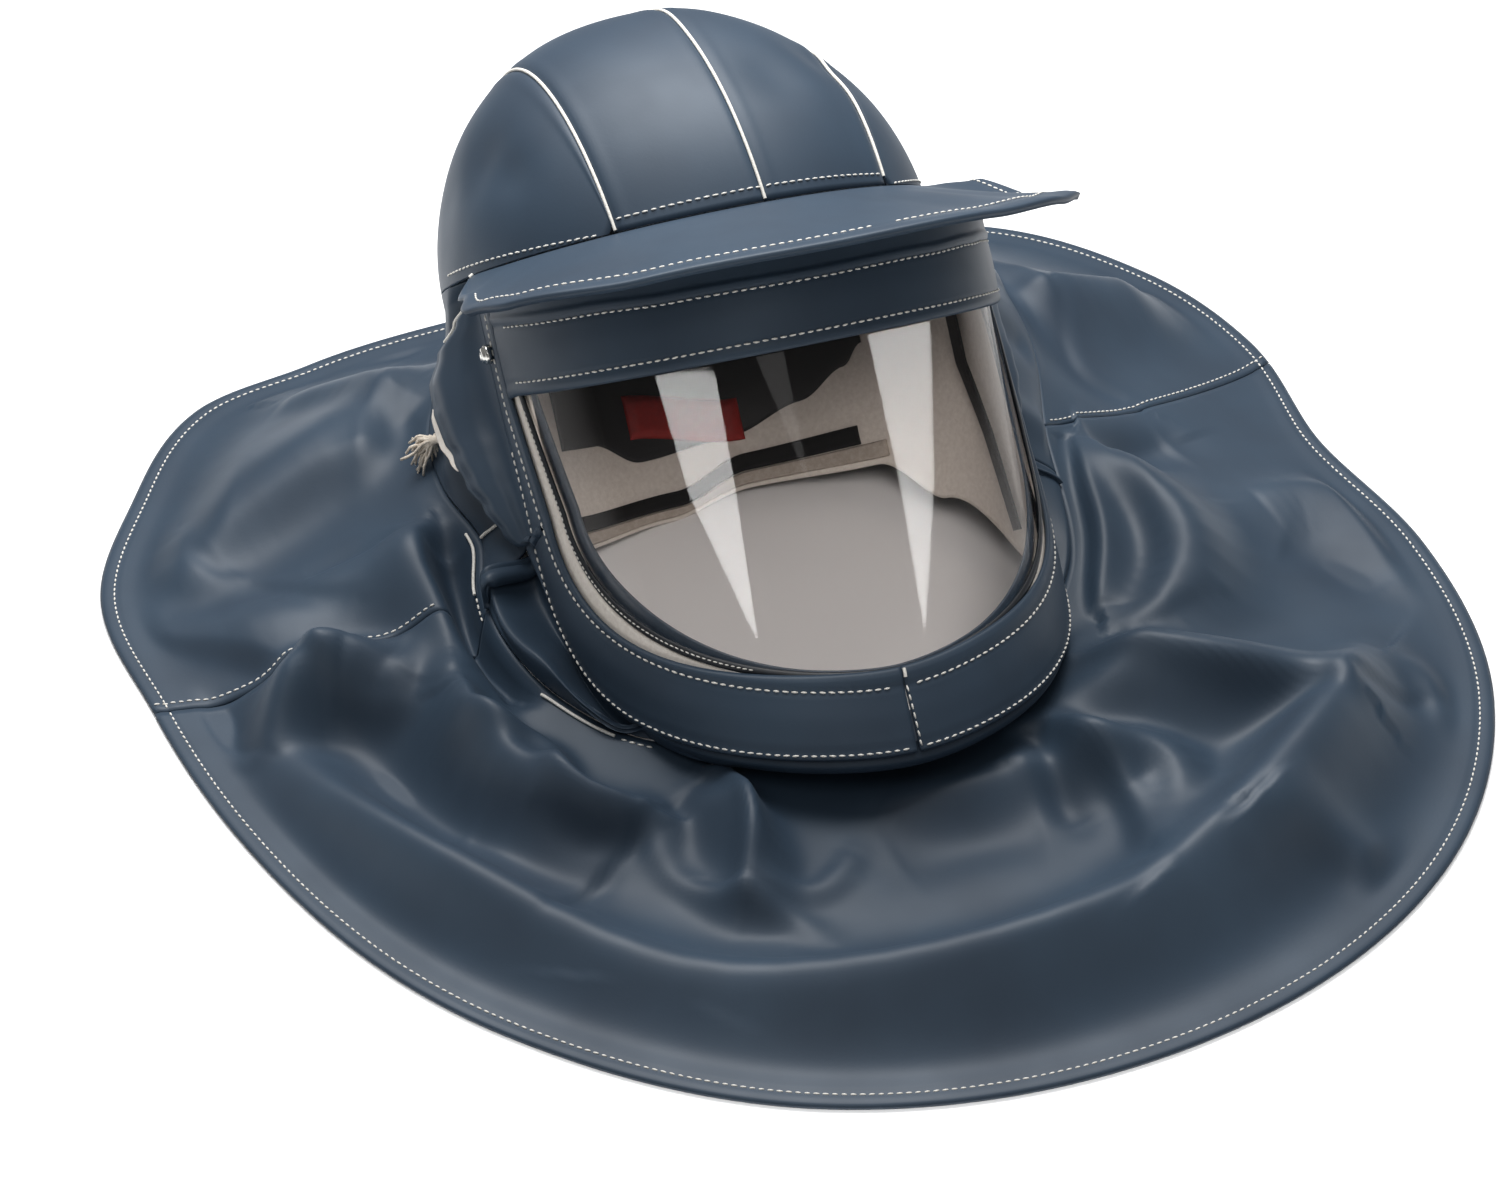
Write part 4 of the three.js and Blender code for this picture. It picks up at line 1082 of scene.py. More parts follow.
def wall_surface(start, end):
    def plain(u, v):
        q = mix(start, end, u)
        return wall_point(q - 2 if q > 1 else q, 1 - v)

    def surface(u, v):
        q = mix(start, end, u)
        point = plain(u, v)
        slack = wall_slack(q, 1 - v)
        roll = skirt_roll(q, 1 - v)
        if slack:
            point += slack * outward(plain, u, v)
        if roll:
            # The roll leans out over the cape.
            away = Vector((point.x - NECK_X, point.y - NECK_Y, 0)).normalized()
            point += roll * (0.5 * away + Vector((0, 0, 0.6)))
        return point

    return surface


skirt_cloth = wall_surface(-SKIRT_END, SKIRT_END)
back_cloth = wall_surface(SKIRT_END + 0.002, 2 - SKIRT_END - 0.002)
sheet_piece("neck_skirt_cloth", skirt_cloth, 190, 60, CLOTH, SHELL, ["neck_skirt"])
sheet_piece("hood_back_cloth", back_cloth, 260, 60, CLOTH, SHELL, ["hood_back"])
print("wall folds:", len(WALL_FOLDS))

# %% [markdown]
# The cape was cut as two wide half rings, joined at the shoulders. It has no form of its own: it lies
# where it fell. Its big folds are the same as in the solid model. The finer ones are drawn on top as
# creases, each a curve over the cape that is steep on one side and easy on the other, as cloth that is
# pushed together lies.

# %% Outline and big folds of the cape


def fitted_hem():
    def raw(azimuth):
        reach = CAPE_DEPTH / 2 * around(HEM_LINE, 1, azimuth)
        angle = math.radians(azimuth)
        return Vector((reach * math.sin(angle), -reach * math.cos(angle), 0.0))

    points = [raw(0.5 * i) for i in range(720)]
    low = Vector((min(p.x for p in points), min(p.y for p in points), 0))
    high = Vector((max(p.x for p in points), max(p.y for p in points), 0))
    middle, size = (low + high) / 2, high - low

    def fitted(azimuth):
        point = raw(azimuth) - middle
        return Vector((point.x * CAPE_WIDTH / size.x, point.y * CAPE_DEPTH / size.y, 0.0))

    return fitted


hem_point = fitted_hem()

# Each fold: azimuths and shares of three places along it, its width to the left and to the right of
# its direction, and its height.
FOLDS = [
    ((-82, -58, -34), (0.86, 0.76, 0.8), 0.6, 1.1, 1.1), ((-38, -14, 12), (0.8, 0.77, 0.69), 0.65, 1.3, 1.25),
    ((8, 26, 44), (0.69, 0.66, 0.73), 0.6, 1.1, 1.1), ((-142, -131, -116), (0, 0.36, 0.8), 0.6, 1.6, 0.75),
    ((-108, -106, -103), (0, 0.34, 0.72), 0.65, 0.65, 0.4), ((-86, -91, -88), (0.82, 0.54, 0.36), 0.5, 0.45, 0.75),
    ((-82, -60, -46), (0.2, 0.34, 0.3), 0.4, 0.45, 0.8), ((-42, -32, -30), (0.08, 0.3, 0.46), 0.35, 0.4, 0.6),
    ((-12, -4, 8), (0.16, 0.22, 0.22), 0.4, 0.4, 0.3), ((24, 33, 41), (0.06, 0.34, 0.66), 0.8, 0.5, 0.7),
    ((8, 20, 12), (0.24, 0.4, 0.58), 0.5, 0.35, 0.55), ((87, 66, 44), (0.06, 0.3, 0.2), 0.7, 0.5, 0.7),
    ((124, 116, 107), (0.02, 0.38, 0.9), 1.0, 0.8, 0.6),
]  # fmt: skip


def three_places(values, t):
    control = 2 * values[1] - (values[0] + values[2]) / 2
    return (1 - t) ** 2 * values[0] + 2 * t * (1 - t) * control + t * t * values[2]


def cape_plan(azimuth, share):
    neck = neck_point(azimuth - NECK_SWING * math.sin(math.radians(azimuth)))
    return neck.lerp(hem_point(azimuth), share)


def fold_line(azimuths, shares):
    """Places along a fold in plan, each with how much of its height the fold has there."""
    line = []
    for i in range(13):
        t = i / 12
        point = cape_plan(three_places(azimuths, t), three_places(shares, t))
        line.append((point.x, point.y, math.sin(math.pi * mix(0.12, 0.88, t)) ** 0.7))
    return line


def nearest(line, x, y, reach):
    """Signed distance to a fold in plan, left of its direction positive, and its strength there."""
    best = (reach, 0.0)
    for (x0, y0, s0), (x1, y1, s1) in zip(line, line[1:]):
        dx, dy = x1 - x0, y1 - y0
        t = min(1.0, max(0.0, ((x - x0) * dx + (y - y0) * dy) / (dx * dx + dy * dy)))
        distance = math.hypot(x - x0 - t * dx, y - y0 - t * dy)
        if distance < abs(best[0]):
            side = dx * (y - y0) - dy * (x - x0)
            best = (math.copysign(distance, side), mix(s0, s1, t))
    return best


def with_reach(line, left, right, height):
    """A fold with the box outside which it lifts nothing, so that most folds are passed over quickly."""
    reach = 3 * max(left, right)
    across, up = [x for x, _, _ in line], [y for _, y, _ in line]
    box = (min(across) - reach, max(across) + reach, min(up) - reach, max(up) + reach)
    return line, left, right, height, box


def near_folds(folds, x, y):
    """The folds that may lift a place in plan, each with its distance and strength there."""
    for line, left, right, height, (west, east, south, north) in folds:
        if west < x < east and south < y < north:
            distance, strength = nearest(line, x, y, 3 * max(left, right))
            yield height * strength, distance, left if distance > 0 else right


fold_lines = [
    with_reach(fold_line(azimuths, shares), FOLD_WIDTH * left, FOLD_WIDTH * right, FOLD_HEIGHT * height)
    for azimuths, shares, left, right, height in FOLDS
]


def fold_rise(x, y):
    rise = 0.0
    for height, distance, width in near_folds(fold_lines, x, y):
        rise = math.hypot(rise, height * bump(distance, width))
    return rise


print("big folds:", len(FOLDS))

# %% Creases of the cape
# Each crease: places along it as azimuth and share from neck to hem, its width to the left and to the
# right of its direction, and its height in millimetres. A valley has a negative height.
CREASES = {
    "back valley": ([(-147, 0.15), (-138, 0.22), (-129, 0.33), (-121, 0.53), (-116, 0.67)], 24, 20, -9),
    "lip of the back valley": ([(-121, 0.8), (-116, 0.78), (-113, 0.7), (-113, 0.6)], 8, 12, 5),
    "flat s": ([(-112, 0.6), (-108, 0.52), (-105, 0.46), (-103, 0.36)], 6, 10, -3.5),
    "line to the rim": ([(-110, 0.46), (-112, 0.34), (-113, 0.2)], 10, 4, -3),
    "rim": ([(-116, 0.1), (-112, 0.15), (-108, 0.17), (-103, 0.16), (-97, 0.13), (-90, 0.12), (-83, 0.11)], 7, 18, 15),
    "shoulder line": ([(-107, 0.87), (-102, 0.72), (-97, 0.6), (-90, 0.52), (-86, 0.44), (-83, 0.34)], 22, 7, 8),
    "shoulder ridge": ([(-88, 0.5), (-89, 0.57), (-88, 0.66), (-85, 0.8)], 12, 15, 12),
    "shoulder dent": ([(-95, 0.82), (-90, 0.81), (-84, 0.82)], 12, 12, -6),
    "deep valley": ([(-87, 0.53), (-82, 0.49), (-76, 0.49), (-70, 0.5), (-62, 0.53)], 16, 20, -13),
    "chin ridge": (
        [(-77, 0.24), (-73, 0.29), (-69, 0.26), (-65, 0.2), (-60, 0.22), (-55, 0.33), (-50, 0.35), (-43, 0.28)], 7, 9, 12
    ),
    "below the chin ridge": ([(-55, 0.41), (-50, 0.41), (-46, 0.38), (-43, 0.32)], 5, 7, -5),
    "sharp crease": ([(-42, 0.15), (-44, 0.3), (-46, 0.5), (-47, 0.69)], 8, 3, -3),
    "hook": ([(-42, 0.07), (-37, 0.12), (-33, 0.22), (-31, 0.34), (-31, 0.46)], 6, 6, 10),
    "low curve": ([(-43, 0.33), (-39, 0.42), (-34, 0.47), (-30, 0.49), (-26, 0.51), (-23, 0.56)], 9, 7, 5),
    "second low curve": ([(-30, 0.46), (-24, 0.43), (-21, 0.38), (-19, 0.32)], 7, 8, 4),
    "corner ridge": ([(18, 0.7), (21, 0.78), (22, 0.86), (21, 0.94)], 18, 10, 10),
    "left ridge": ([(30, 0.05), (32, 0.17), (34, 0.37), (36, 0.5), (38, 0.62), (37, 0.7)], 24, 8, 12),
    "left hook": ([(12, 0.13), (16, 0.19), (15, 0.27), (15, 0.38), (13, 0.47), (10, 0.56)], 13, 7, 12),
    "left hollow": ([(13, 0.2), (10, 0.29), (8, 0.4)], 9, 9, -7),
    "soft crease": ([(33, 0.13), (38, 0.15), (42, 0.22), (46, 0.28), (51, 0.36)], 6, 12, -3.5),
    "thin line": ([(38, 0.68), (40, 0.77), (43, 0.87)], 4, 8, -3),
    "edge ridge": ([(47, 0.8), (44, 0.87), (40, 0.92)], 10, 10, 5),
    "far ridge": ([(123, 0.02), (116, 0.32), (112, 0.62), (110, 0.95)], 10, 26, 6),
    "far fold": ([(116, 0.28), (110, 0.19), (104, 0.24), (97, 0.38)], 8, 18, -5),
    "left rim": ([(91, 0.12), (78, 0.08), (67, 0.07), (56, 0.07), (47, 0.1)], 18, 5, 13),
    "hollow at the left seam": ([(90, 0.16), (88, 0.28), (88, 0.48)], 12, 20, -11),
    "right hand ridge": ([(74, 0.62), (74, 0.78), (70, 0.88), (62, 0.9)], 16, 22, 9),
    "right hand hollow": ([(66, 0.6), (63, 0.72), (58, 0.8)], 18, 18, -6),
    "middle hollow": ([(-14, 0.36), (-4, 0.34), (4, 0.38)], 22, 18, -6),
    "neck hollow": ([(-110, 0.09), (-105, 0.07), (-99, 0.055), (-93, 0.05), (-86, 0.05), (-78, 0.05)], 10, 9, -26),
    "nape fold": ([(178, 0.05), (172, 0.35), (176, 0.7)], 16, 30, 12),
    "nape hollow": ([(198, 0.1), (194, 0.4), (196, 0.75)], 24, 14, -7),
    "back fold": ([(215, 0.06), (211, 0.4), (213, 0.72)], 14, 26, 11),
    "left back fold": ([(146, 0.05), (150, 0.34), (147, 0.66)], 18, 28, 10),
}


def crease_line(places):
    """A smooth line through the places in plan, with its strength falling off at both ends."""
    points = [cape_plan(azimuth, share) for azimuth, share in places]
    guides = [points[0], *points, points[-1]]
    line = []
    steps = 5
    count = steps * (len(points) - 1)
    for i in range(count + 1):
        k = min(i // steps, len(points) - 2)
        t = i / steps - k
        before, here, there, after = guides[k : k + 4]
        point = 0.5 * (
            2 * here
            + (there - before) * t
            + (2 * before - 5 * here + 4 * there - after) * t * t
            + (3 * here - before - 3 * there + after) * t**3
        )
        line.append((point.x, point.y, math.sin(math.pi * mix(0.06, 0.94, i / count)) ** 0.6))
    return line


crease_lines = [
    with_reach(crease_line(places), left, right, height) for places, left, right, height in CREASES.values()
]


def crease_rise(x, y):
    return sum(height * bump(distance, width) for height, distance, width in near_folds(crease_lines, x, y))


def hem_share(azimuth):
    run = hem_point(azimuth) - cape_plan(azimuth, 0)
    return 1 - HEM_WIDTH / math.hypot(run.x, run.y)


# The turned hem, in millimetres in from its edge: the edge is round, and the stitch row is a channel.
HEM_SWELL = [(0.0, -1.0), (1.2, -0.35), (3.0, 0.0), (5.5, -0.1), (6.8, -0.55), (7.6, -0.55), (9.0, 0.0), (16.0, 0.0)]
HEM_STITCH = 7.2


def cape_point(azimuth, share):
    point = cape_plan(azimuth, share)
    flat = hem_share(azimuth)
    open_share = max(0.0, 1 - share / flat)
    slope = cape_plan(azimuth, 0).z - HEM_THICKNESS
    free = smooth(open_share / 0.3) * smooth((share - 0.06) / 0.2)
    rise = fold_rise(point.x, point.y) * free
    fine = crease_rise(point.x, point.y) * smooth(open_share / 0.08)
    fine *= smooth((share - 0.01) / 0.04) if fine < 0 else smooth((share - 0.02) / 0.08)
    point.z = HEM_THICKNESS + slope * open_share**1.35 + rise + fine
    edge = HEM_WIDTH * (1 - share) / (1 - flat)
    if edge < HEM_WIDTH:
        point.z += along(HEM_SWELL, 1, edge)
    point.z = max(point.z, CLOTH + 0.1)
    return point


def cape_half(start, end):
    def surface(u, v):
        return cape_point(mix(start, end, u), (1 - v) ** 0.9)

    return surface


cape_cloth = {
    "cape_front": cape_half(-SHOULDER_AZIMUTH + 0.1, SHOULDER_AZIMUTH - 0.1),
    "cape_back": cape_half(SHOULDER_AZIMUTH + 0.1, 360 - SHOULDER_AZIMUTH - 0.1),
}
sheet_piece("cape_front_cloth", cape_cloth["cape_front"], 300, 100, CLOTH, SHELL, ["cape_front"])
sheet_piece("cape_back_cloth", cape_cloth["cape_back"], 250, 90, CLOTH, SHELL, ["cape_back"])
print("creases:", len(CREASES))
# %% [markdown]
# Inside, on the far wall, the photograph shows a pale lining, a black harness band with a red pad, a
# narrow black strap and a padded sweatband. They lie in layers on the same upright cylinder as the
# window, between lines that are tables of angle and level.

# %% Inside
INSIDE_DROP = 140.0
LINING_TOP = 30.0
LINING_FRONT = 79.5
HARNESS_TOP = 26.0
STRAP_WIDTH = 8.0
LINING_THICKNESS = 1.5
HARNESS_THICKNESS = 2.4
PAD_THICKNESS = 4.0
LINING_RADIUS = WINDOW_RADIUS - WINDOW_THICKNESS - LAYER
HARNESS_RADIUS = LINING_RADIUS - LINING_THICKNESS - LAYER
PAD_RADIUS = HARNESS_RADIUS - HARNESS_THICKNESS - LAYER

LINING_LINE = [
    (79, 1), (88, 0.914), (119, 0.629), (137, 0.45), (170, 0.429), (193, 0.493), (224, 0.536),
    (245, 0.6), (281, 0.843),
]  # fmt: skip
HARNESS_LINE = [(134, 0), (140, 0.071), (153, 0.157), (172, 0.229), (198, 0.257), (211, 0.171), (224, 0.171)]
PAD_LINE = [(169, 0.25, 0.093), (200, 0.171, 0.007)]
BACK_STRAP_LINE = [(140, 0.364, 0.293), (170, 0.364, 0.3), (190, 0.443, 0.386), (223, 0.471, 0.414)]
SWEATBAND_LINE = [(133, 0.429), (170, 0.414), (193, 0.479), (223, 0.521)]
INNER_STRAP_LINE = [(0, 100, -0.114), (0.3, 100, 0.171), (0.6, 94, 0.443), (1, 89, 0.8)]


def level(rows, column):
    return lambda degrees: -INSIDE_DROP * along(rows, column, degrees)


def on_inside(degrees, height, radius):
    angle = math.radians(degrees)
    return Vector((radius * math.sin(angle), -radius * math.cos(angle), height))


def inner_strip(ends, bottom, top, radius, swell):
    """Strip round the inside of the hood between two lines, swelling inwards."""

    def surface(u, v):
        degrees = mix(ends[0], ends[1], u)
        height = mix(bottom(degrees), top(degrees), v)
        return in_head(on_inside(degrees, height, radius - swell(u, v)))

    return surface


def ends_of(rows):
    return rows[0][0], rows[-1][0]


def pillow(u, v, deep, soft):
    """Rises from nothing at the four edges to its full depth within a share of the width."""
    edge_u, edge_v = min(u, 1 - u), min(v, 1 - v)
    return deep * smooth(edge_u / soft) ** 0.5 * smooth(edge_v / (2 * soft)) ** 0.5


def lining_swell(u, v):
    return -0.3 + 0.5 * math.sin(41 * u + 3 * v) * smooth(1.2 - v) + 0.35 * math.sin(23 * u - 5 * v)


lining_surface = inner_strip(
    (LINING_FRONT, 360 - LINING_FRONT), level(LINING_LINE, 1), lambda d: LINING_TOP, LINING_RADIUS, lining_swell
)
harness_surface = inner_strip(
    ends_of(HARNESS_LINE), level(HARNESS_LINE, 1), lambda d: HARNESS_TOP, HARNESS_RADIUS,
    lambda u, v: pillow(u, v, 0.8, 0.06) - 0.6,
)  # fmt: skip
pad_surface = inner_strip(
    ends_of(PAD_LINE), level(PAD_LINE, 1), level(PAD_LINE, 2), PAD_RADIUS, lambda u, v: pillow(u, v, 3.0, 0.1) - 2.2
)
strap_surface = inner_strip(
    ends_of(BACK_STRAP_LINE), level(BACK_STRAP_LINE, 1), level(BACK_STRAP_LINE, 2), HARNESS_RADIUS,
    lambda u, v: pillow(u, v, 0.5, 0.04) - 0.3,
)  # fmt: skip


def under_strap(degrees):
    return level(BACK_STRAP_LINE, 1)(max(BACK_STRAP_LINE[0][0], degrees)) - LAYER


sweatband_surface = inner_strip(
    ends_of(SWEATBAND_LINE), level(SWEATBAND_LINE, 1), under_strap, HARNESS_RADIUS,
    lambda u, v: pillow(u, v, 1.6, 0.05) - 1.2,
)  # fmt: skip


def inner_strap_surface(u, v):
    angle = along(INNER_STRAP_LINE, 1, 1 - v)
    height = -INSIDE_DROP * along(INNER_STRAP_LINE, 2, 1 - v)
    half_turn = math.degrees(STRAP_WIDTH / 2 / HARNESS_RADIUS)
    swell = 0.4 * math.sin(math.pi * u)
    return in_head(on_inside(mix(angle + half_turn, angle - half_turn, u), height, HARNESS_RADIUS - swell))


# These sheets are seen from inside the hood, so their walls are added outwards.
def inside_piece(name, surface, columns, rows, thickness, material, node):
    return sheet_piece(name, lambda u, v: surface(1 - u, v), columns, rows, thickness, material, [node])


inside_piece("lining_cloth_inside", lining_surface, 180, 40, LINING_THICKNESS - 0.4, LINING, "lining")
inside_piece("harness_band_web", harness_surface, 90, 24, 1.8, WEBBING, "harness_band")
inside_piece("harness_pad_red", pad_surface, 48, 24, 3.0, RED_FOAM, "harness_pad")
inside_piece("back_strap_web", strap_surface, 90, 8, 1.8, WEBBING, "back_strap")
inside_piece("sweatband_padded", sweatband_surface, 90, 12, 1.8, SWEATBAND, "sweatband")
inside_piece("inner_strap_web", inner_strap_surface, 8, 70, 1.8, WEBBING, "inner_strap")
stitches("inner_strap_stitches", [(inner_strap_surface, [(0.14, 0.04), (0.14, 0.5), (0.14, 0.96)])], THREAD, 3.4, 2.7, 0.8)
print("inside pieces: 6")
# %% [markdown]
# All seams are topstitched in pale waxed cotton. Along the frame the rows lie just inside each edge;
# under the peak and along the hem they follow the edge at an even distance.

# %% Stitches of the frame and the band


def straight(a, b, count=2):
    return [(mix(a[0], b[0], i / (count - 1)), mix(a[1], b[1], i / (count - 1))) for i in range(count)]


FRAME_ROWS = []
for hand in (-1, 1):
    surface = frame_cloth[hand]
    near, far = (0.02, 0.985) if hand < 0 else (0.015, 0.98)
    FRAME_ROWS.append((surface, [(u, 1 - inner_row(hand, 2 - 2 * u if hand < 0 else 2 * u)) for u, _ in straight((near, 0), (far, 0), 40)]))
    outer = (0.3, 0.992) if hand < 0 else (0.008, 0.7)
    FRAME_ROWS.append((surface, straight((outer[0], 0.062), (outer[1], 0.062), 30)))
FRAME_ROWS.append((frame_cloth[1], straight((0.002, 0.05), (0.002, 0.82), 20)))
stitches("frame_stitches", FRAME_ROWS, THREAD)
BAND_ROWS = [(band_surface, straight((0.035, 0.122), (0.965, 0.122), 40)), (band_surface, straight((0.035, 0.63), (0.93, 0.63), 40))]
stitches("band_stitches", BAND_ROWS, THREAD)

# %% Stitches of the peak
peak_rows = [(peak_surface, straight((0.1, 0.19), (0.55, 0.19), 40)), (peak_surface, straight((0.57, 0.19), (0.985, 0.19), 40))]
stitches("peak_stitches", peak_rows, THREAD)

# %% Stitches of the crown's foot


def crown_foot_row(name):
    surface = CROWN_PIECES[name]
    if "top" in name:
        return surface, straight((0.02, 0.018), (0.98, 0.018), 20)
    ends = (0.53, 0.98) if "right" in name else (0.02, 0.47)
    return surface, straight((ends[0], 0.05), (ends[1], 0.05), 40)


stitches("crown_foot_stitches", [crown_foot_row(name) for name in CROWN_PIECES], THREAD)

# %% Seams of the crown
for number, (name, u) in enumerate((("crown_top_right", 0.0), ("crown_top_left", 0.0), ("crown_side_left", None))):
    surface = CROWN_PIECES[name]
    track = straight((u, 0.0), (u, 1.0), 60) if u is not None else straight((0.0, 0.985), (1.0, 0.985), 60)
    piping("crown_piping_" + str(number + 1), surface, track, 0.85, 0.5, THREAD)

# %% Small seams
# The seam where the wall meets the cape is piped where it isn't covered, and so are the short seams at
# the corner of the peak and at the chin. The rim of the gasket has a fine stitch row.


def neck_track(start, end, count=24):
    surface, low, high = cape_cloth["cape_front"], -SHOULDER_AZIMUTH + 0.1, SHOULDER_AZIMUTH - 0.1
    if start < low:
        surface, low, high = cape_cloth["cape_back"], SHOULDER_AZIMUTH + 0.1, 360 - SHOULDER_AZIMUTH - 0.1
        start, end = start + 360, end + 360
    return surface, [((mix(start, end, i / count) - low) / (high - low), 0.985) for i in range(count + 1)]


NECK_PIPES = {"neck_piping_side": (-113, -101), "neck_piping_chin": (-75, -59)}
for name, (start, end) in NECK_PIPES.items():
    surface, track = neck_track(start, end)
    piping(name, surface, track, 0.8, 0.9, THREAD)
piping("neck_piping_top", back_cloth, [(0.93, 0.0), (0.934, 0.1), (0.94, 0.2), (0.946, 0.3)], 0.8, 0.9, THREAD)
stitches("neck_stitches", [neck_track(-100.5, -95), neck_track(-58.5, -52)], THREAD)
piping("peak_end_piping", peak_surface, straight((0.006, 0.1), (0.006, 0.95), 12), 0.8, 0.6, THREAD)
piping("chin_piping", frame_cloth[1], straight((0.002, 0.84), (0.004, 0.995), 8), 0.8, 0.5, THREAD)
piping("flap_top_piping", flap_cloth[-1], straight((0.012, 0.985), (0.012, 0.86), 12), 0.8, 0.5, THREAD)
gasket_row = (gasket_surface, straight((0.03, 0.55), (0.4, 0.55), 40))
stitches("gasket_stitches", [gasket_row], THREAD, pitch=2.9, length=2.3, width=0.7)
print("pipings:", 3 + len(NECK_PIPES) + 4)

# %% Hem and shoulder seams


def hem_track(surface_name, start, end):
    track = []
    for i in range(121):
        u = i / 120
        azimuth = mix(start, end, u)
        share = 1 - HEM_STITCH / HEM_WIDTH * (1 - hem_share(azimuth))
        track.append((u, 1 - share ** (1 / 0.9)))
    return cape_cloth[surface_name], track


hem_rows = [
    hem_track("cape_front", -SHOULDER_AZIMUTH + 0.1, SHOULDER_AZIMUTH - 0.1),
    hem_track("cape_back", SHOULDER_AZIMUTH + 0.1, 360 - SHOULDER_AZIMUTH - 0.1),
]
stitches("hem_stitches", hem_rows, THREAD, pitch=3.9, length=3.0)
shoulder_rows = [
    (cape_cloth["cape_back"], straight((0.006, 0.01), (0.006, 0.98), 60)),
    (cape_cloth["cape_back"], straight((0.994, 0.01), (0.994, 0.885), 60)),
]
stitches("shoulder_stitches", shoulder_rows, THREAD, pitch=3.9, length=3.0)
# %% [markdown]
# The hood lies on a white table under broad soft light, as in a product photograph. The floor is nearly
# white; one big soft box hangs above and a little behind, and a weaker one fills in from the camera's
# left. Both are area lights, so every shadow has a soft edge.

# %% Floor and light
floor_mesh = bpy.data.meshes.new("floor")
floor_mesh.from_pydata([(-6, -6, 0), (6, -6, 0), (6, 6, 0), (-6, 6, 0)], [], [(0, 1, 2, 3)])
floor = bpy.data.objects.new("floor", floor_mesh)
bpy.context.collection.objects.link(floor)
pale = new_material("pale_floor")
paint = add(pale, "ShaderNodeBsdfPrincipled", Base_Color=linear("fafafa"), Roughness=0.9)
show(pale, paint.outputs["BSDF"])
floor_mesh.materials.append(pale)

world = bpy.data.worlds.new("studio")
world.use_nodes = True
world.node_tree.nodes["Background"].inputs["Color"].default_value = linear("ffffff")
world.node_tree.nodes["Background"].inputs["Strength"].default_value = 0.22
bpy.context.scene.world = world
bpy.context.scene.view_settings.view_transform = "Standard"


def soft_box(name, place, aim, width, height, power):
    light = bpy.data.lights.new(name, "AREA")
    light.shape = "RECTANGLE"
    light.size, light.size_y, light.energy = width, height, power
    lamp = bpy.data.objects.new(name, light)
    bpy.context.collection.objects.link(lamp)
    lamp.location = place
    lamp.rotation_euler = (Vector(place) - Vector(aim)).to_track_quat("Z", "Y").to_euler()
    return lamp


soft_box("top_box", (0.08, 0.38, 1.1), (0, 0.05, 0.2), 1.1, 0.8, 24.0)
soft_box("front_box", (-0.9, -1.3, 2.2), (0, 0, 0.0), 1.6, 1.0, 7.0)
inside_box = soft_box("inside_box", (-0.35, -1.0, 1.25), (0, 0, 0.15), 0.7, 0.5, 13.0)

# Two narrow panels that show only as reflections: they give the tall glares on the window.
panel_light = new_material("glare_panel_light")
glow = add(panel_light, "ShaderNodeEmission", Color=linear("ffffff"), Strength=20.0)
show(panel_light, glow.outputs["Emission"])
GLARES = {
    "right_glare": [(-1.47, -0.30, 0.70), (-1.03, -0.80, 1.04), (-1.09, -0.83, 0.94), (-1.20, -0.83, 0.78), (-1.44, -0.44, 0.67)],
    "left_glare": [(0.83, -0.99, 1.0), (1.45, -0.43, 0.48), (1.18, -0.85, 0.67), (0.70, -1.20, 0.84), (0.81, -1.08, 0.90)],
}
# They light nothing but the sheet, and so leave the cloth alone.
lit_by_panels = bpy.data.collections.new("lit_by_the_glare_panels")
lit_by_panels.objects.link(bpy.data.objects["window_sheet"])
for name, corners in GLARES.items():
    shape = bmesh.new()
    shape.faces.new([shape.verts.new(corner) for corner in corners])
    panel = link(name, shape)
    panel.data.materials.append(panel_light)
    panel.visible_camera = False
    panel.visible_diffuse = False
    panel.visible_shadow = False
    panel.light_linking.receiver_collection = lit_by_panels
inside_pieces = bpy.data.collections.new("lit_by_the_inside_box")
for name in ("lining_cloth_inside", "sweatband_padded", "harness_pad_red", "harness_band_web", "floor"):
    inside_pieces.objects.link(bpy.data.objects[name])
inside_box.light_linking.receiver_collection = inside_pieces
print("lights: 3, glare panels:", len(GLARES))
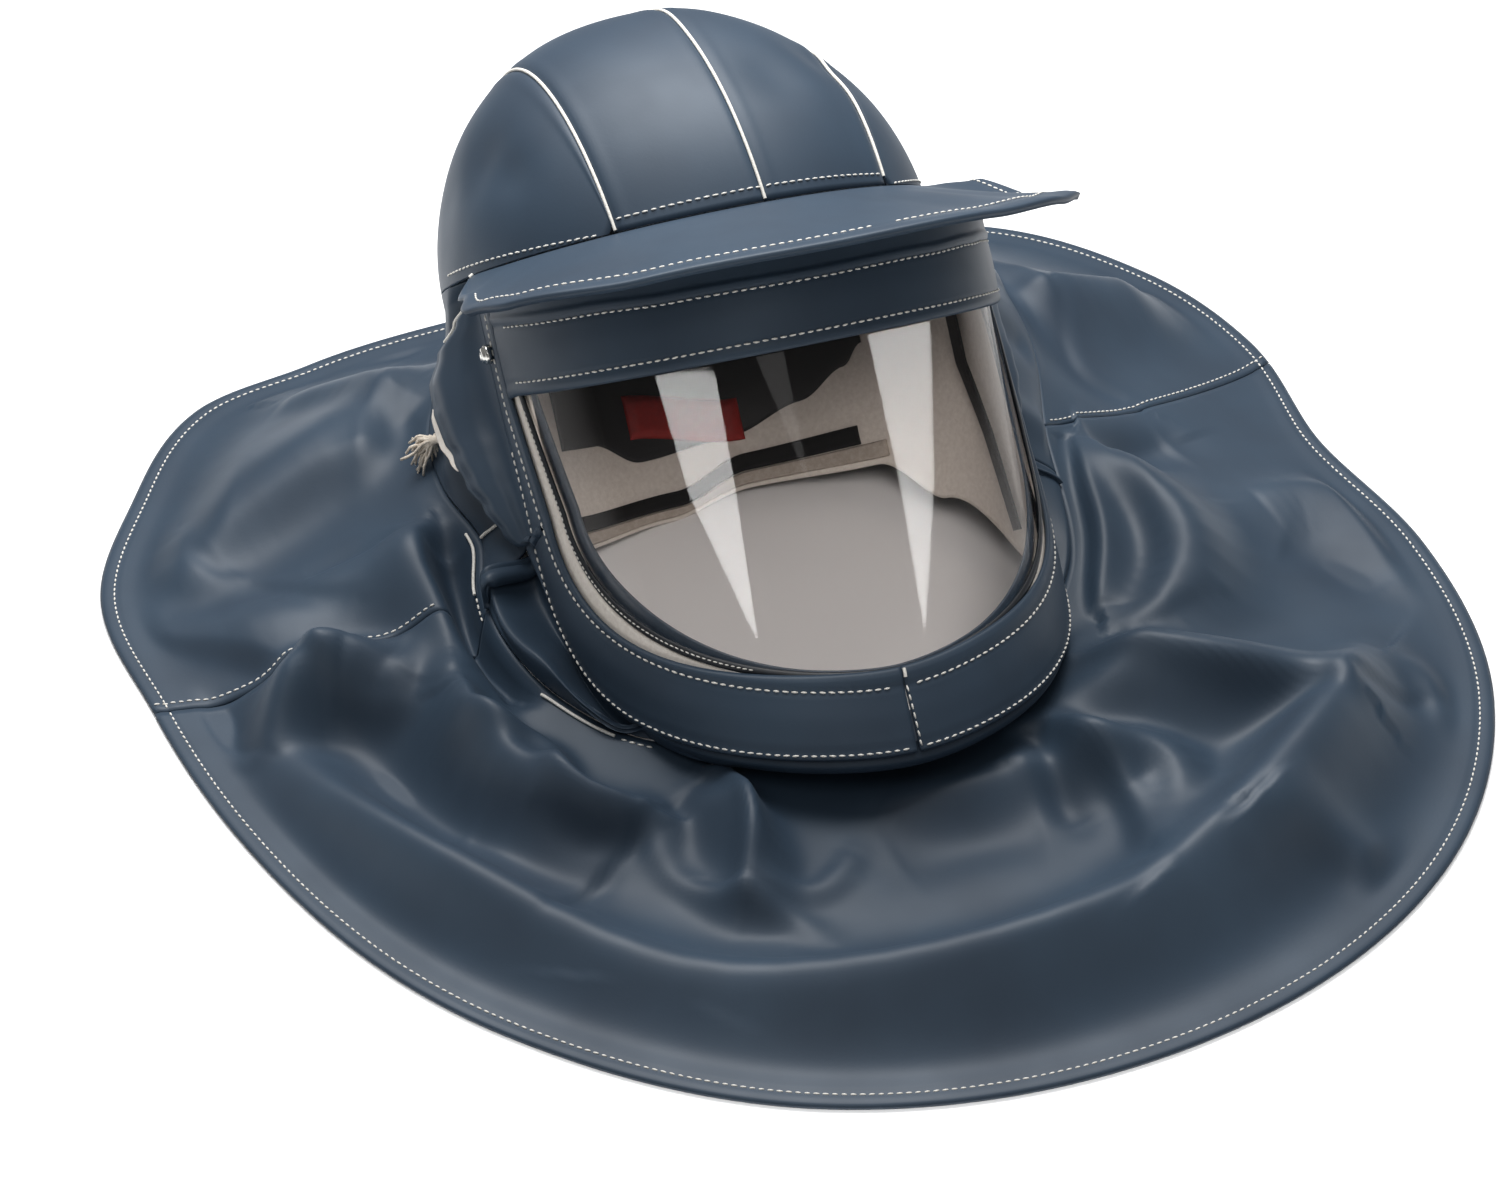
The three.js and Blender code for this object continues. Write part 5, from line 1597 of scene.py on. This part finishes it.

# %% [markdown]
# Every sheet of cloth is listed with the size that it was cut from. A gore or a half ring isn't a
# rectangle, so its flat area is given beside its longest width and length. The numbers were measured on
# the finished sheets, and the same measurement is printed next to them.

# %% Sizes of the sheets


def sheet_area(piece):
    """Area of one side of a sheet, in square metres, without its wall."""
    return sum(face.area for face in piece.data.polygons)


SHEETS = {
    "crown_side_right_cloth": ((0.3, 0.116), 0.0201, "stretched", ["lining_cloth_inside"]),
    "crown_top_right_cloth": ((0.076, 0.36), 0.0256, "stretched", ["lining_cloth_inside"]),
    "crown_top_left_cloth": ((0.082, 0.357), 0.0255, "stretched", ["lining_cloth_inside"]),
    "crown_side_left_cloth": ((0.254, 0.096), 0.0137, "stretched", ["lining_cloth_inside"]),
    "peak_cloth": ((0.549, 0.096), 0.0303, "stretched", ["crown_top_right_cloth"]),
    "brow_band_cloth": ((0.376, 0.056), 0.0186, "stretched", ["peak_cloth"]),
    "frame_right_cloth": ((0.385, 0.041), 0.0123, "stretched", ["window_gasket_rim"]),
    "frame_left_cloth": ((0.385, 0.041), 0.0127, "stretched", ["window_gasket_rim"]),
    "side_flap_right_cloth": ((0.05, 0.21), 0.0047, "hung", ["frame_right_cloth"]),
    "side_flap_left_cloth": ((0.05, 0.21), 0.0047, "hung", ["frame_left_cloth"]),
    "neck_skirt_cloth": ((0.55, 0.066), 0.0235, "gathered", ["frame_right_cloth", "frame_left_cloth"]),
    "hood_back_cloth": ((0.7, 0.13), 0.0477, "hung", ["crown_side_right_cloth", "crown_side_left_cloth"]),
    "cape_front_cloth": ((1.207, 0.267), 0.1957, "laid", ["floor"]),
    "cape_back_cloth": ((0.967, 0.21), 0.1203, "laid", ["floor"]),
    "lining_cloth_inside": ((0.45, 0.17), 0.047, "hung", ["hood_back_cloth"]),
    "side_flap_backing": ((0.036, 0.011), 0.00018, "stretched", ["side_flap_right_cloth"]),
    "lining_rim_strip": ((0.571, 0.017), 0.006, "stretched", ["window_gasket_rim"]),
}
for name, (flat, area, held, carriers) in SHEETS.items():
    piece = bpy.data.objects[name]
    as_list(carriers)
    print(name, "cut from", flat, "area", area, "measured", round(sheet_area(piece), 5))
